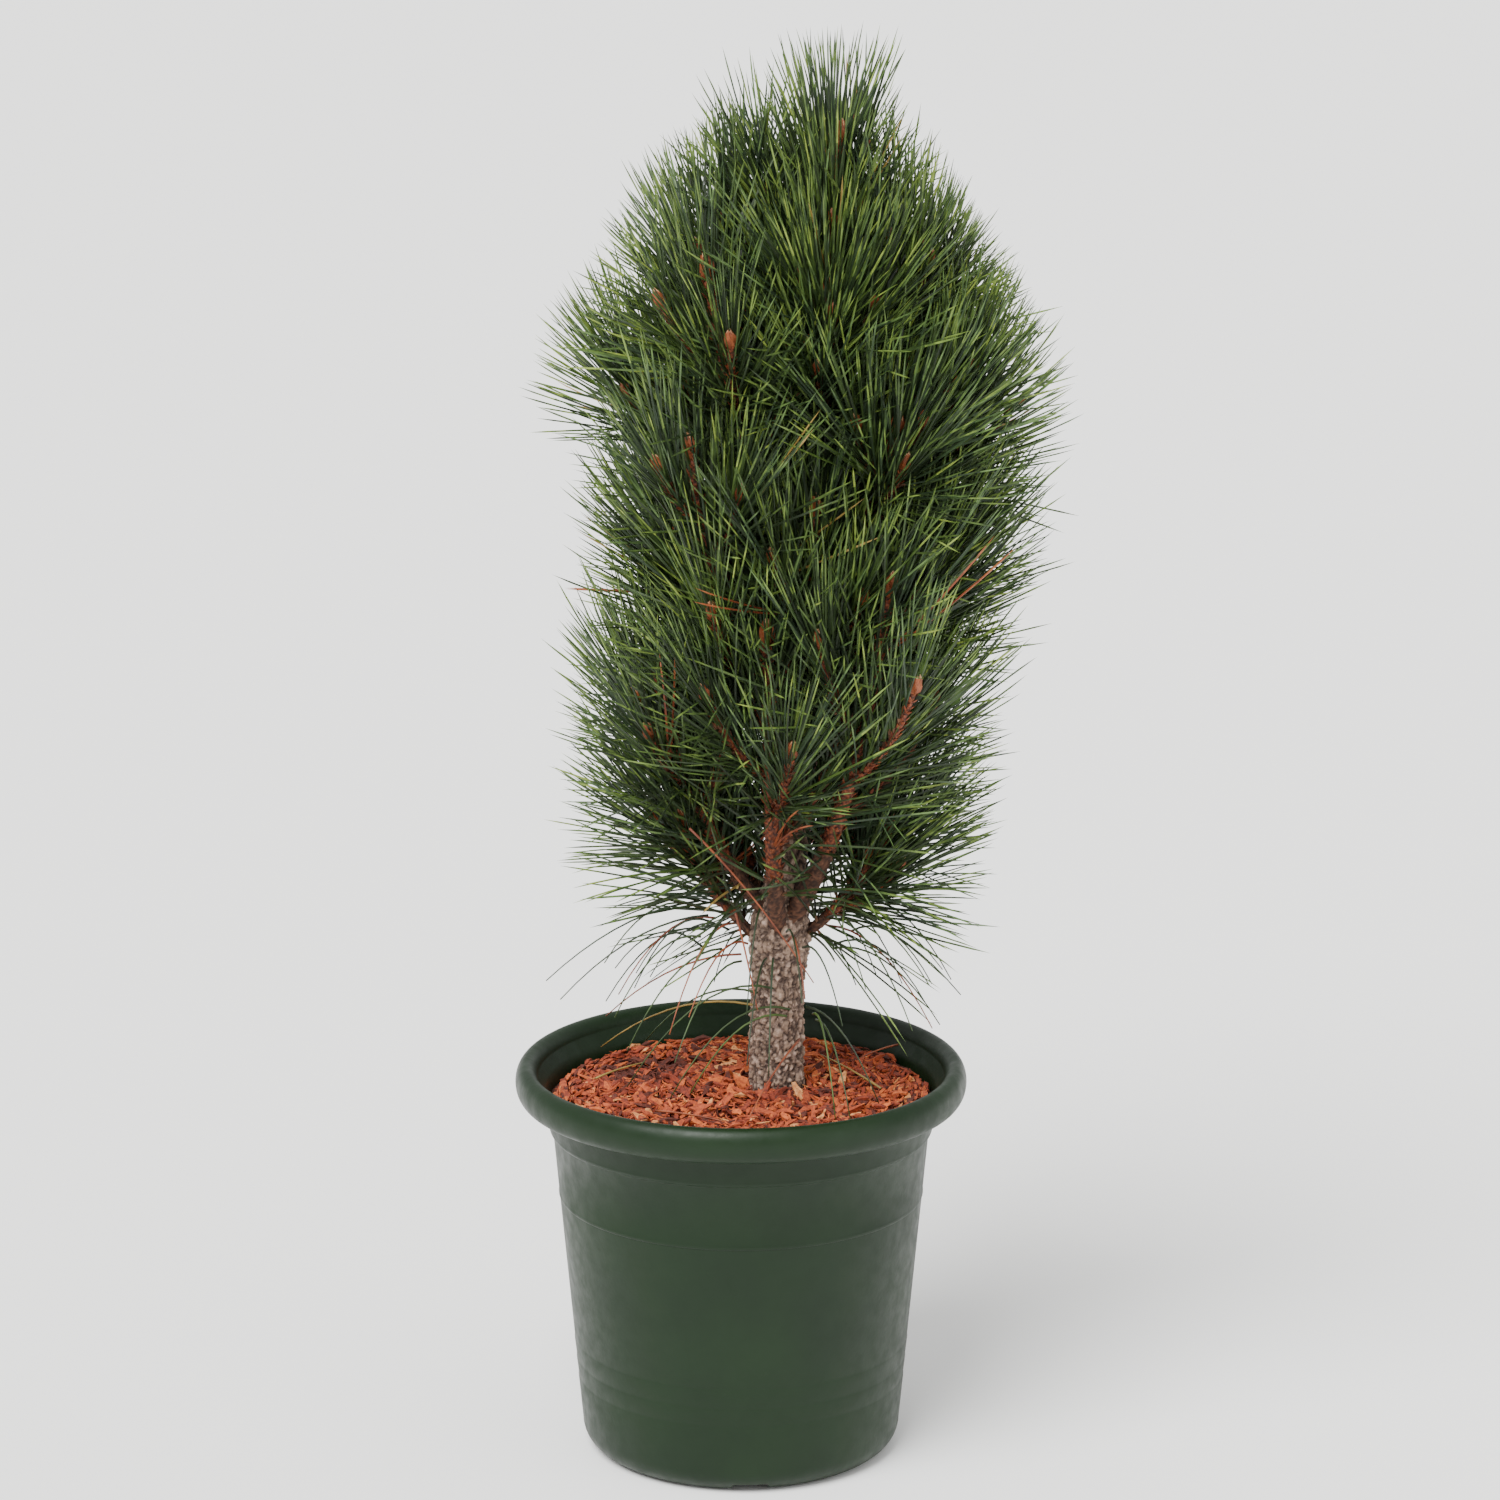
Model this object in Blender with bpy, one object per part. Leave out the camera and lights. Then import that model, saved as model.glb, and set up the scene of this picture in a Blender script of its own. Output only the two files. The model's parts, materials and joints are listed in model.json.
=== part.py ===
"""A young columnar austrian pine in its round plastic nursery pot, topped up with bark mulch.

Metres, +Z up. The origin is the centre of the pot's flat underside, and the pine is seen from -Y.
Every limb is worked out from a few sizes: the trunk from its lean and taper, each shoot from the height
at which it leaves the trunk, the way it points, how far it spreads and how high its bud stands.
"""

import math
import random
from collections import namedtuple

import bmesh
import bpy
import numpy as np
from mathutils import Matrix, Vector

GAP = 0.0003
SEED = 7

# Pot: a turned plastic wall with a rolled rim, a collar under it and a stacking step
POT_HEIGHT = 0.248
POT_SEGMENTS = 36
WALL = 0.002
RIM_RADIUS = 0.140
ROLL_HALF_WIDTH = 0.007
ROLL_HALF_HEIGHT = 0.011
COLLAR_TOP_RADIUS = 0.1235
COLLAR_FOOT_RADIUS = 0.1180
COLLAR_FOOT = 0.205
BODY_TOP_RADIUS = 0.1168
STEP_HEIGHT = 0.164
STEP_DEPTH = 0.0006
FOOT_RADIUS = 0.0995
CORNER_RADIUS = 0.016
CORNER_STEPS = 3
ROLL_STEPS = 9

# Drain channels under the floor, each of which opens in a notch at the pot's foot
CHANNEL_COUNT = 3
CHANNEL_AZIMUTH = math.radians(-86.5)
CHANNEL_FOOT_WIDTH = 0.026
CHANNEL_TOP_WIDTH = 0.021
CHANNEL_HEIGHT = 0.006
CHANNEL_START = 0.050
TUNNEL_END = 0.087

# What fills the pot
COMPOST_TOP = 0.215
MULCH_AT_TRUNK = 0.235
MULCH_AT_WALL = 0.226
MULCH_RINGS = 5
MULCH_ROUGHNESS = 0.0022
MULCH_HOLLOW = Vector((-0.062, 0.048))
MULCH_HOLLOW_RADIUS = 0.034
MULCH_HOLLOW_DEPTH = 0.006

# Trunk: the centre line leans to +X, and the radius swells where a whorl of boughs leaves
TRUNK_FOOT = Vector((0.022, 0.0))
TRUNK_LEAN = 0.033
LEAN_START = 0.26
LEAN_END = 0.70
TRUNK_SIDES = 9
TRUNK_TAPER = (
    (COMPOST_TOP, 0.0200),
    (0.226, 0.0178),
    (0.245, 0.0164),
    (0.300, 0.0158),
    (0.322, 0.0182),
    (0.340, 0.0176),
    (0.362, 0.0122),
    (0.425, 0.0108),
    (0.445, 0.0122),
    (0.470, 0.0098),
    (0.545, 0.0086),
    (0.565, 0.0098),
    (0.590, 0.0078),
    (0.635, 0.0082),
    (0.660, 0.0062),
    (0.700, 0.0056),
)

# Shoots, lowest whorl first. The foot is the height where the shoot leaves the trunk, the azimuth is
# counted from +X towards +Y, the spread is how far out from the trunk the bud stands, the bud is its height,
# and the bare share of the shoot's length has no needles.
Shoot = namedtuple("Shoot", "name foot azimuth spread bud bare")
SHOOTS = (
    Shoot("base_left", 0.318, 172, 0.062, 0.400, 0.38),
    Shoot("base_right", 0.322, -8, 0.064, 0.394, 0.38),
    Shoot("low_front", 0.322, -96, 0.080, 0.532, 0.34),
    Shoot("low_front_right", 0.332, -51, 0.100, 0.560, 0.36),
    Shoot("low_left", 0.336, -160, 0.076, 0.490, 0.40),
    Shoot("low_right", 0.338, 22, 0.070, 0.494, 0.40),
    Shoot("low_back_left", 0.330, 128, 0.082, 0.500, 0.24),
    Shoot("low_back_right", 0.322, 72, 0.080, 0.510, 0.24),
    Shoot("mid_front", 0.446, -82, 0.066, 0.604, 0.28),
    Shoot("mid_front_left", 0.438, -132, 0.094, 0.641, 0.30),
    Shoot("mid_right", 0.448, -8, 0.084, 0.584, 0.26),
    Shoot("mid_left", 0.454, 170, 0.076, 0.585, 0.26),
    Shoot("mid_back_left", 0.436, 118, 0.086, 0.606, 0.26),
    Shoot("mid_back_right", 0.440, 52, 0.086, 0.616, 0.26),
    Shoot("high_front_left", 0.546, -139, 0.086, 0.746, 0.30),
    Shoot("high_left", 0.570, 174, 0.102, 0.668, 0.30),
    Shoot("high_front_right", 0.556, -56, 0.078, 0.654, 0.28),
    Shoot("high_right", 0.568, -5, 0.082, 0.674, 0.28),
    Shoot("high_back_right", 0.552, 53, 0.082, 0.696, 0.26),
    Shoot("high_back_left", 0.560, 114, 0.088, 0.684, 0.26),
    Shoot("top_front", 0.632, -92, 0.050, 0.732, 0.26),
    Shoot("top_left", 0.632, 168, 0.066, 0.762, 0.26),
    Shoot("top_right", 0.634, 0, 0.050, 0.750, 0.26),
    Shoot("top_back", 0.642, 88, 0.056, 0.764, 0.26),
)
LEADER = "leader"
LEADER_BUD = Vector((0.052, 0.0, 0.808))

# The crown's outline: how far from its upright axis the needles may reach at each height
CROWN_AXIS_X = 0.034
CROWN_REACH = (
    (0.28, 0.100),
    (0.33, 0.130),
    (0.37, 0.150),
    (0.45, 0.148),
    (0.52, 0.162),
    (0.58, 0.178),
    (0.70, 0.182),
    (0.75, 0.158),
    (0.80, 0.128),
    (0.85, 0.088),
    (0.90, 0.060),
)

# A shoot's centre line
BEND_OUT = 0.66
BEND_UP = 0.30
PATH_STEPS = 24

# Limbs: a bough's radius at its foot grows with its length
LIMB_SIDES = 5
LIMB_SLENDERNESS = 0.022
LIMB_LEAST_RADIUS = 0.0014
SHOOT_TIP_RADIUS = 0.0030
BUD_RADIUS = 0.0042
BUD_LENGTH = 0.016
BUD_BULGE = 0.35
BUD_POINT_RADIUS = 0.0008
BOUGH_RINGS = 4
STEM_RINGS = 3

# Side twigs, which branch from a mass's stem
TWIG_SIDES = 4
TWIG_RINGS = 1
TWIG_PLACES = (0.30, 0.55)
TWIG_SHARE = 0.42
TWIG_TILT = math.radians(42)
TWIG_RADIUS = 0.0023
TWIG_BUD_RADIUS = 0.0034

# Needles, fewer and thicker than life
NEEDLES_PER_METRE = 395
NEEDLES_PER_TWIG = 8
OLD_NEEDLE = 0.120
YOUNG_NEEDLE = 0.086
NEEDLE_SPREAD = 0.08
NEEDLE_CLEARANCE = 0.0036
ROOT_SHARE = 0.16
NEEDLE_RADIUS = 0.0022
NEEDLE_SINK = 0.45
STEM_FOOT_BARE = 0.05
NEEDLE_SIDES = 3
NEEDLE_CUTS = (1.0, 0.84, 0.70, 0.58)
TILT_AT_STEM_FOOT = math.radians(80)
TILT_AT_BUD = math.radians(22)
TILT_SPREAD = math.radians(7)
TILT_CURVE = 0.6
GOLDEN_ANGLE = math.pi * (3.0 - math.sqrt(5.0))
NEEDLE_SAMPLES = 9
SPACE_MARGIN = 0.0056
LIMB_MARGIN = 0.0030
FLOOR_MARGIN = 0.006


def linear(hex_colour):
    """An sRGB hex colour as the linear values that a shader takes."""
    channels = [int(hex_colour[i : i + 2], 16) / 255 for i in (1, 3, 5)]
    return [c / 12.92 if c <= 0.04045 else ((c + 0.055) / 1.055) ** 2.4 for c in channels] + [1.0]


def make_material(name, colour, roughness):
    material = bpy.data.materials.new(name)
    material.use_nodes = True
    shader = material.node_tree.nodes["Principled BSDF"]
    shader.inputs["Base Color"].default_value = linear(colour)
    shader.inputs["Roughness"].default_value = roughness
    shader.inputs["Metallic"].default_value = 0.0
    material.diffuse_color = linear(colour)
    return material


def add_object(name, mesh, material=None):
    obj = bpy.data.objects.new(name, mesh)
    bpy.context.scene.collection.objects.link(obj)
    if material:
        mesh.materials.clear()
        mesh.materials.append(material)
    return obj


def as_cutter(obj):
    obj.hide_render = True
    obj.display_type = "WIRE"
    return obj


def mesh_from(bm, name):
    mesh = bpy.data.meshes.new(name)
    bm.to_mesh(mesh)
    bm.free()
    return mesh


def add_boolean(obj, other, operation):
    modifier = obj.modifiers.new(f"{operation.lower()} {other.name}", "BOOLEAN")
    modifier.operation = operation
    modifier.object = other
    modifier.solver = "EXACT"
    return modifier


def apply_modifiers(obj):
    """Gives the object the mesh that its modifiers make, and removes them."""
    graph = bpy.context.evaluated_depsgraph_get()
    mesh = bpy.data.meshes.new_from_object(obj.evaluated_get(graph))
    obj.modifiers.clear()
    obj.data = mesh


def turned(name, profile, material=None, segments=POT_SEGMENTS):
    """A solid turned about the Z axis. Its profile runs from the axis up the inside and down the outside."""
    bm = bmesh.new()
    corners = [bm.verts.new((radius, 0.0, height)) for radius, height in profile]
    for first, second in zip(corners, corners[1:]):
        bm.edges.new((first, second))
    obj = add_object(name, mesh_from(bm, name), material)
    screw = obj.modifiers.new("turn", "SCREW")
    screw.axis = "Z"
    screw.steps = segments
    screw.render_steps = segments
    screw.use_merge_vertices = True
    screw.merge_threshold = 0.00001
    return obj


def arc(centre_x, centre_z, radius_x, radius_z, start, end, steps):
    """Points on an oval arc from start to end, in degrees."""
    angles = [math.radians(start + (end - start) * i / steps) for i in range(steps + 1)]
    return [(centre_x + radius_x * math.cos(a), centre_z + radius_z * math.sin(a)) for a in angles]


def outer_radius(height):
    """The straight, tapering body of the pot between its foot and its collar."""
    share = (height - CORNER_RADIUS) / (COLLAR_FOOT - CORNER_RADIUS)
    return FOOT_RADIUS + (BODY_TOP_RADIUS - FOOT_RADIUS) * share


def pot_profile():
    roll_x = RIM_RADIUS - ROLL_HALF_WIDTH
    roll_z = POT_HEIGHT - ROLL_HALF_HEIGHT
    inner_top = COLLAR_TOP_RADIUS - WALL
    corner_x = FOOT_RADIUS - CORNER_RADIUS
    inner_corner = CORNER_RADIUS - WALL
    inner_foot = outer_radius(CORNER_RADIUS) - WALL - inner_corner
    inside = [(0.0, WALL)]
    inside += arc(inner_foot, CORNER_RADIUS, inner_corner, inner_corner, -90, 0, CORNER_STEPS)
    inside.append((outer_radius(COLLAR_FOOT) - WALL, COLLAR_FOOT))
    inside.append((inner_top, roll_z - 0.3 * ROLL_HALF_HEIGHT))
    roll = arc(roll_x, roll_z, ROLL_HALF_WIDTH, ROLL_HALF_HEIGHT, 170, -70, ROLL_STEPS)
    outside = [
        (COLLAR_TOP_RADIUS + 0.001, roll_z - 1.02 * ROLL_HALF_HEIGHT),
        (COLLAR_FOOT_RADIUS + 0.0012, COLLAR_FOOT + 0.002),
        (outer_radius(COLLAR_FOOT), COLLAR_FOOT),
        (outer_radius(STEP_HEIGHT) + STEP_DEPTH, STEP_HEIGHT + 0.001),
        (outer_radius(STEP_HEIGHT), STEP_HEIGHT),
    ]
    foot = arc(corner_x, CORNER_RADIUS, CORNER_RADIUS, CORNER_RADIUS, 0, -90, CORNER_STEPS)
    return inside + roll + outside + foot + [(0.0, 0.0)]


def channel_prism(name, azimuth, start, end, low, high, foot_width, top_width):
    """A bar of trapezoid section along a radius of the pot's floor, narrower at its top."""
    half_foot, half_top = foot_width / 2, top_width / 2
    section = [(-half_foot, low), (half_foot, low), (half_top, high), (-half_top, high)]
    bm = bmesh.new()
    ends = []
    for radius in (start, end):
        ends.append([bm.verts.new((radius, across, height)) for across, height in section])
    bmesh.ops.contextual_create(bm, geom=ends[0])
    bmesh.ops.contextual_create(bm, geom=ends[1])
    for i in range(4):
        bm.faces.new((ends[0][i], ends[0][i - 1], ends[1][i - 1], ends[1][i]))
    bmesh.ops.recalc_face_normals(bm, faces=bm.faces)
    bm.transform(Matrix.Rotation(azimuth, 4, "Z"))
    return as_cutter(add_object(name, mesh_from(bm, name)))


def channel_azimuths():
    return [CHANNEL_AZIMUTH + 2 * math.pi * i / CHANNEL_COUNT for i in range(CHANNEL_COUNT)]


def make_pot(material):
    pot = turned("pot", pot_profile(), material)
    for i, azimuth in enumerate(channel_azimuths()):
        tunnel = channel_prism(
            f"tunnel_{i}",
            azimuth,
            CHANNEL_START - WALL,
            TUNNEL_END,
            WALL / 2,
            CHANNEL_HEIGHT + WALL,
            CHANNEL_FOOT_WIDTH + 2 * WALL,
            CHANNEL_TOP_WIDTH + 2 * WALL,
        )
        add_boolean(pot, tunnel, "UNION")
    for i, azimuth in enumerate(channel_azimuths()):
        channel = channel_prism(
            f"channel_{i}",
            azimuth,
            CHANNEL_START,
            RIM_RADIUS,
            -CHANNEL_HEIGHT,
            CHANNEL_HEIGHT,
            2 * CHANNEL_FOOT_WIDTH - CHANNEL_TOP_WIDTH,
            CHANNEL_TOP_WIDTH,
        )
        add_boolean(pot, channel, "DIFFERENCE")
    shade_round(pot)
    return pot


def shade_round(obj):
    """Smooth shading with the sharp corners kept."""
    apply_modifiers(obj)
    obj.data.shade_smooth()
    obj.data.set_sharp_from_angle(angle=math.radians(35))


def make_compost(material):
    """The compost fills the pot below the mulch, a gap clear of its wall, floor and drain tunnels."""
    inset = WALL + GAP
    corner = CORNER_RADIUS - inset
    foot = outer_radius(CORNER_RADIUS) - inset - corner
    outside = arc(foot, CORNER_RADIUS, corner, corner, 0, -90, CORNER_STEPS)
    profile = [(0.0, COMPOST_TOP), (inner_radius(COMPOST_TOP) - GAP, COMPOST_TOP)]
    profile += [(inner_radius(COLLAR_FOOT) - GAP, COLLAR_FOOT)] + outside + [(0.0, inset)]
    compost = turned("compost", profile, material)
    for i, azimuth in enumerate(channel_azimuths()):
        clear_tunnel = channel_prism(
            f"clear_tunnel_{i}",
            azimuth,
            CHANNEL_START - inset,
            RIM_RADIUS,
            0.0,
            CHANNEL_HEIGHT + inset,
            CHANNEL_FOOT_WIDTH + 2 * inset,
            CHANNEL_TOP_WIDTH + 2 * inset,
        )
        add_boolean(compost, clear_tunnel, "DIFFERENCE")
    shade_round(compost)
    return compost


def inner_radius(height):
    """The pot's inner wall, which opens out a little above the collar's foot."""
    low = outer_radius(COLLAR_FOOT) - WALL
    high_z = POT_HEIGHT - 1.3 * ROLL_HALF_HEIGHT
    share = (height - COLLAR_FOOT) / (high_z - COLLAR_FOOT)
    return low + (COLLAR_TOP_RADIUS - WALL - low) * max(share, 0.0)


def mulch_height(x, y, rng):
    """The mulch's surface: high round the trunk, low at the wall, with one hollow and rough all over."""
    from_trunk = (Vector((x, y)) - TRUNK_FOOT).length
    share = min(from_trunk / BODY_TOP_RADIUS, 1.0)
    height = MULCH_AT_TRUNK + (MULCH_AT_WALL - MULCH_AT_TRUNK) * share
    from_hollow = (Vector((x, y)) - MULCH_HOLLOW).length
    if from_hollow < MULCH_HOLLOW_RADIUS:
        height -= MULCH_HOLLOW_DEPTH * math.cos(0.5 * math.pi * from_hollow / MULCH_HOLLOW_RADIUS)
    return height + rng.uniform(-MULCH_ROUGHNESS, MULCH_ROUGHNESS)


def make_mulch(material, trunk_space):
    """A layer of bark chips on the compost, round the foot of the trunk."""
    rng = random.Random(SEED)
    low_z = COMPOST_TOP + GAP
    bm = bmesh.new()
    centre_low = bm.verts.new((0.0, 0.0, low_z))
    centre_high = bm.verts.new((0.0, 0.0, mulch_height(0.0, 0.0, rng)))
    ways = [2 * math.pi * i / POT_SEGMENTS for i in range(POT_SEGMENTS)]
    ways = [Vector((math.cos(angle), math.sin(angle))) for angle in ways]
    rings = []
    for ring in range(1, MULCH_RINGS + 1):
        corners = []
        for way in ways:
            spot = way * inner_radius(MULCH_AT_WALL) * ring / MULCH_RINGS
            height = mulch_height(spot.x, spot.y, rng)
            spot = way * (inner_radius(height) - GAP) * ring / MULCH_RINGS
            corners.append(bm.verts.new((spot.x, spot.y, height)))
        rings.append(corners)
    foot_reach = inner_radius(low_z) - GAP
    foot = [bm.verts.new((way.x * foot_reach, way.y * foot_reach, low_z)) for way in ways]
    for i in range(POT_SEGMENTS):
        bm.faces.new((centre_high, rings[0][i - 1], rings[0][i]))
        bm.faces.new((centre_low, foot[i], foot[i - 1]))
        for inner, outer in zip(rings, rings[1:] + [foot]):
            bm.faces.new((inner[i - 1], outer[i - 1], outer[i], inner[i]))
    bmesh.ops.recalc_face_normals(bm, faces=bm.faces)
    mulch = add_object("mulch", mesh_from(bm, "mulch"), material)
    add_boolean(mulch, trunk_space, "DIFFERENCE")
    apply_modifiers(mulch)
    return mulch


def trunk_centre(height):
    """The trunk leans to +X as it rises, and stands straight again at its tip."""
    rise = min(max((height - LEAN_START) / (LEAN_END - LEAN_START), 0.0), 1.0)
    sway = TRUNK_LEAN * rise * rise * (3.0 - 2.0 * rise)
    return Vector((TRUNK_FOOT.x + sway, TRUNK_FOOT.y, height))


def loft(centres, radii, sides, name, first_way=None, last_way=None):
    """A closed tube of flat rings along a line of centres. Its end faces can be given their directions."""
    bm = bmesh.new()
    rings = []
    across = None
    for i, (centre, radius) in enumerate(zip(centres, radii)):
        before, after = centres[max(i - 1, 0)], centres[min(i + 1, len(centres) - 1)]
        along = (after - before).normalized()
        if i == 0 and first_way:
            along = first_way
        if i == len(centres) - 1 and last_way:
            along = last_way
        if across is None:
            across = along.orthogonal().normalized()
        across = (across - along * across.dot(along)).normalized()
        beside = along.cross(across)
        ring = []
        for k in range(sides):
            angle = 2 * math.pi * k / sides
            offset = across * math.cos(angle) + beside * math.sin(angle)
            ring.append(bm.verts.new(centre + radius * offset))
        rings.append(ring)
    for lower, upper in zip(rings, rings[1:]):
        for k in range(sides):
            bm.faces.new((lower[k - 1], lower[k], upper[k], upper[k - 1]))
    bm.faces.new(reversed(rings[0]))
    bm.faces.new(rings[-1])
    bmesh.ops.recalc_face_normals(bm, faces=bm.faces)
    return mesh_from(bm, name)


def make_trunk(material):
    centres = [trunk_centre(height) for height, _ in TRUNK_TAPER]
    centres[0].z += GAP
    radii = [radius for _, radius in TRUNK_TAPER]
    _, leader_way = along_path(leader_path(), 0.0)
    shape = loft(centres, radii, TRUNK_SIDES, "trunk", Vector((0.0, 0.0, 1.0)), leader_way)
    trunk = add_object("trunk", shape, material)
    trunk.data.shade_smooth()
    return trunk


def make_trunk_space():
    """The trunk's shape, a gap larger all round, which is cut from what touches the trunk."""
    below = trunk_centre(COMPOST_TOP - TRUNK_TAPER[0][1])
    centres = [below] + [trunk_centre(height) for height, _ in TRUNK_TAPER]
    radii = [radius + GAP / math.cos(math.pi / TRUNK_SIDES) for _, radius in TRUNK_TAPER]
    radii = radii[:1] + radii
    return as_cutter(add_object("trunk_space", loft(centres, radii, TRUNK_SIDES, "trunk_space")))


def shoot_path(shoot):
    """A shoot's centre line from the trunk to its bud: out from the trunk first, then up."""
    start = trunk_centre(shoot.foot)
    way = Vector((math.cos(math.radians(shoot.azimuth)), math.sin(math.radians(shoot.azimuth)), 0.0))
    rise = shoot.bud - shoot.foot
    bend = start + way * shoot.spread * BEND_OUT + Vector((0.0, 0.0, rise * BEND_UP))
    end = start + way * shoot.spread + Vector((0.0, 0.0, rise))
    points = []
    for i in range(PATH_STEPS + 1):
        t = i / PATH_STEPS
        points.append(start * (1 - t) ** 2 + bend * 2 * t * (1 - t) + end * t**2)
    return points


def leader_path():
    """The leader goes on from the trunk's tip to the top bud."""
    start = trunk_centre(TRUNK_TAPER[-1][0])
    return [start.lerp(LEADER_BUD, i / PATH_STEPS) for i in range(PATH_STEPS + 1)]


def path_length(points):
    return sum((b - a).length for a, b in zip(points, points[1:]))


def along_path(points, share):
    """(point, direction) at a share of the path's steps."""
    place = min(max(share, 0.0), 1.0) * (len(points) - 1)
    i = min(int(place), len(points) - 2)
    step = points[i + 1] - points[i]
    return points[i] + step * (place - i), step.normalized()


def limb_radius(length, share):
    foot = LIMB_LEAST_RADIUS + LIMB_SLENDERNESS * length
    return foot + (SHOOT_TIP_RADIUS - foot) * share


def make_bough(shoot, path, material, trunk_space):
    """The bare foot of a shoot, from the trunk to where its needles begin."""
    name = f"bough_{shoot.name}"
    shares = [shoot.bare * i / BOUGH_RINGS for i in range(BOUGH_RINGS + 1)]
    centres = [along_path(path, share)[0] for share in shares]
    radii = [limb_radius(path_length(path), share) for share in shares]
    _, end_way = along_path(path, shoot.bare)
    bough = add_object(name, loft(centres, radii, LIMB_SIDES, name, last_way=end_way), material)
    add_boolean(bough, trunk_space, "DIFFERENCE")
    apply_modifiers(bough)
    bough.data.shade_smooth()
    return bough


def gaps_to_line(points, line):
    """The distance from each point to a line of straight steps."""
    starts, ends = line[:-1], line[1:]
    steps = ends - starts
    to_point = points[:, None, :] - starts[None]
    share = np.clip((to_point * steps).sum(2) / (steps * steps).sum(1), 0.0, 1.0)
    return np.linalg.norm(to_point - share[..., None] * steps, axis=2).min(1)


def gaps_between(piece, others):
    """The distance from one straight piece to each of the others."""
    along, other_along = piece[1] - piece[0], others[:, 1] - others[:, 0]
    apart = piece[0] - others[:, 0]
    a, b, c = along @ along, other_along @ along, (other_along**2).sum(1)
    d, e = apart @ along, (apart * other_along).sum(1)
    spread = np.maximum(a * c - b * b, 1e-12)
    share = np.clip((b * e - c * d) / spread, 0.0, 1.0)
    other_share = np.clip((b * share + e) / c, 0.0, 1.0)
    share = np.clip((b * other_share - d) / a, 0.0, 1.0)
    return np.linalg.norm(apart + share[:, None] * along - other_share[:, None] * other_along, axis=1)


class Spaces:
    """Where each mass may grow: within the crown, nearest to its own stem, and clear of every bare limb."""

    def __init__(self):
        self.stems = {}
        self.limbs = []
        self.needles = np.empty((0, 2, 3))

    def add_stem(self, name, points):
        self.stems[name] = np.array(points)

    def add_limb(self, points, radii):
        self.limbs.append((np.array(points), np.array(radii).max()))

    def holds(self, name, start, end):
        """Whether a straight piece from start to end stays in the space of this mass."""
        shares = np.linspace(0.0, 1.0, NEEDLE_SAMPLES)[:, None]
        points = np.array(start) * (1 - shares) + np.array(end) * shares
        own = gaps_to_line(points, self.stems[name])
        for other, stem in self.stems.items():
            if other != name and (gaps_to_line(points, stem) - own).min() < SPACE_MARGIN:
                return False
        for line, radius in self.limbs:
            if gaps_to_line(points, line).min() < radius + LIMB_MARGIN:
                return False
        from_axis = np.hypot(points[:, 0] - CROWN_AXIS_X, points[:, 1])
        heights, reaches = zip(*CROWN_REACH)
        if (from_axis > np.interp(points[:, 2], heights, reaches)).any():
            return False
        return points[:, 2].min() > POT_HEIGHT + FLOOR_MARGIN

    def clear_of_needles(self, root, tip):
        """Whether a needle passes clear of those that stand already, their roots apart, and if so adds it."""
        free = np.array([root + (tip - root) * ROOT_SHARE, tip])
        if len(self.needles) and gaps_between(free, self.needles).min() < NEEDLE_CLEARANCE:
            return False
        self.needles = np.concatenate([self.needles, free[None]])
        return True


def spike(start, end, radius, turn, name):
    """One needle: a slim three-sided point."""
    along = (end - start).normalized()
    across = Matrix.Rotation(turn, 3, along) @ along.orthogonal().normalized()
    beside = along.cross(across)
    bm = bmesh.new()
    tip = bm.verts.new(end)
    base = []
    for k in range(NEEDLE_SIDES):
        angle = 2 * math.pi * k / NEEDLE_SIDES
        base.append(bm.verts.new(start + radius * (across * math.cos(angle) + beside * math.sin(angle))))
    bm.faces.new(base)
    for k in range(NEEDLE_SIDES):
        bm.faces.new((base[k - 1], base[k], tip))
    bmesh.ops.recalc_face_normals(bm, faces=bm.faces)
    return mesh_from(bm, name)


def tilted(direction, tilt, turn):
    """A direction turned away from another by tilt, towards the side that turn gives."""
    side = Matrix.Rotation(turn, 3, direction) @ direction.orthogonal().normalized()
    return (direction * math.cos(tilt) + side * math.sin(tilt)).normalized()


def stem_shape(name, path, bare):
    """A mass's stem with its bud, from where the bough ends, a gap clear of it."""
    foot, direction = along_path(path, bare)
    shares = [bare + (1.0 - bare) * i / STEM_RINGS for i in range(STEM_RINGS + 1)]
    centres = [foot + direction * GAP] + [along_path(path, share)[0] for share in shares[1:]]
    radii = [limb_radius(path_length(path), share) for share in shares]
    return with_bud(name, path, centres, radii, BUD_RADIUS, LIMB_SIDES, direction)


def twig_shape(name, path):
    """A side twig with its bud."""
    shares = [i / TWIG_RINGS for i in range(TWIG_RINGS + 1)]
    centres = [along_path(path, share)[0] for share in shares]
    return with_bud(name, path, centres, [TWIG_RADIUS] * len(shares), TWIG_BUD_RADIUS, TWIG_SIDES)


def with_bud(name, path, centres, radii, bud_radius, sides, first_way=None):
    """A limb that ends in a bud: it swells a little and then comes to a point."""
    tip, direction = along_path(path, 1.0)
    centres = centres + [tip + direction * BUD_BULGE * BUD_LENGTH, tip + direction * BUD_LENGTH]
    return loft(centres, radii + [bud_radius, BUD_POINT_RADIUS], sides, name, first_way)


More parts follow.
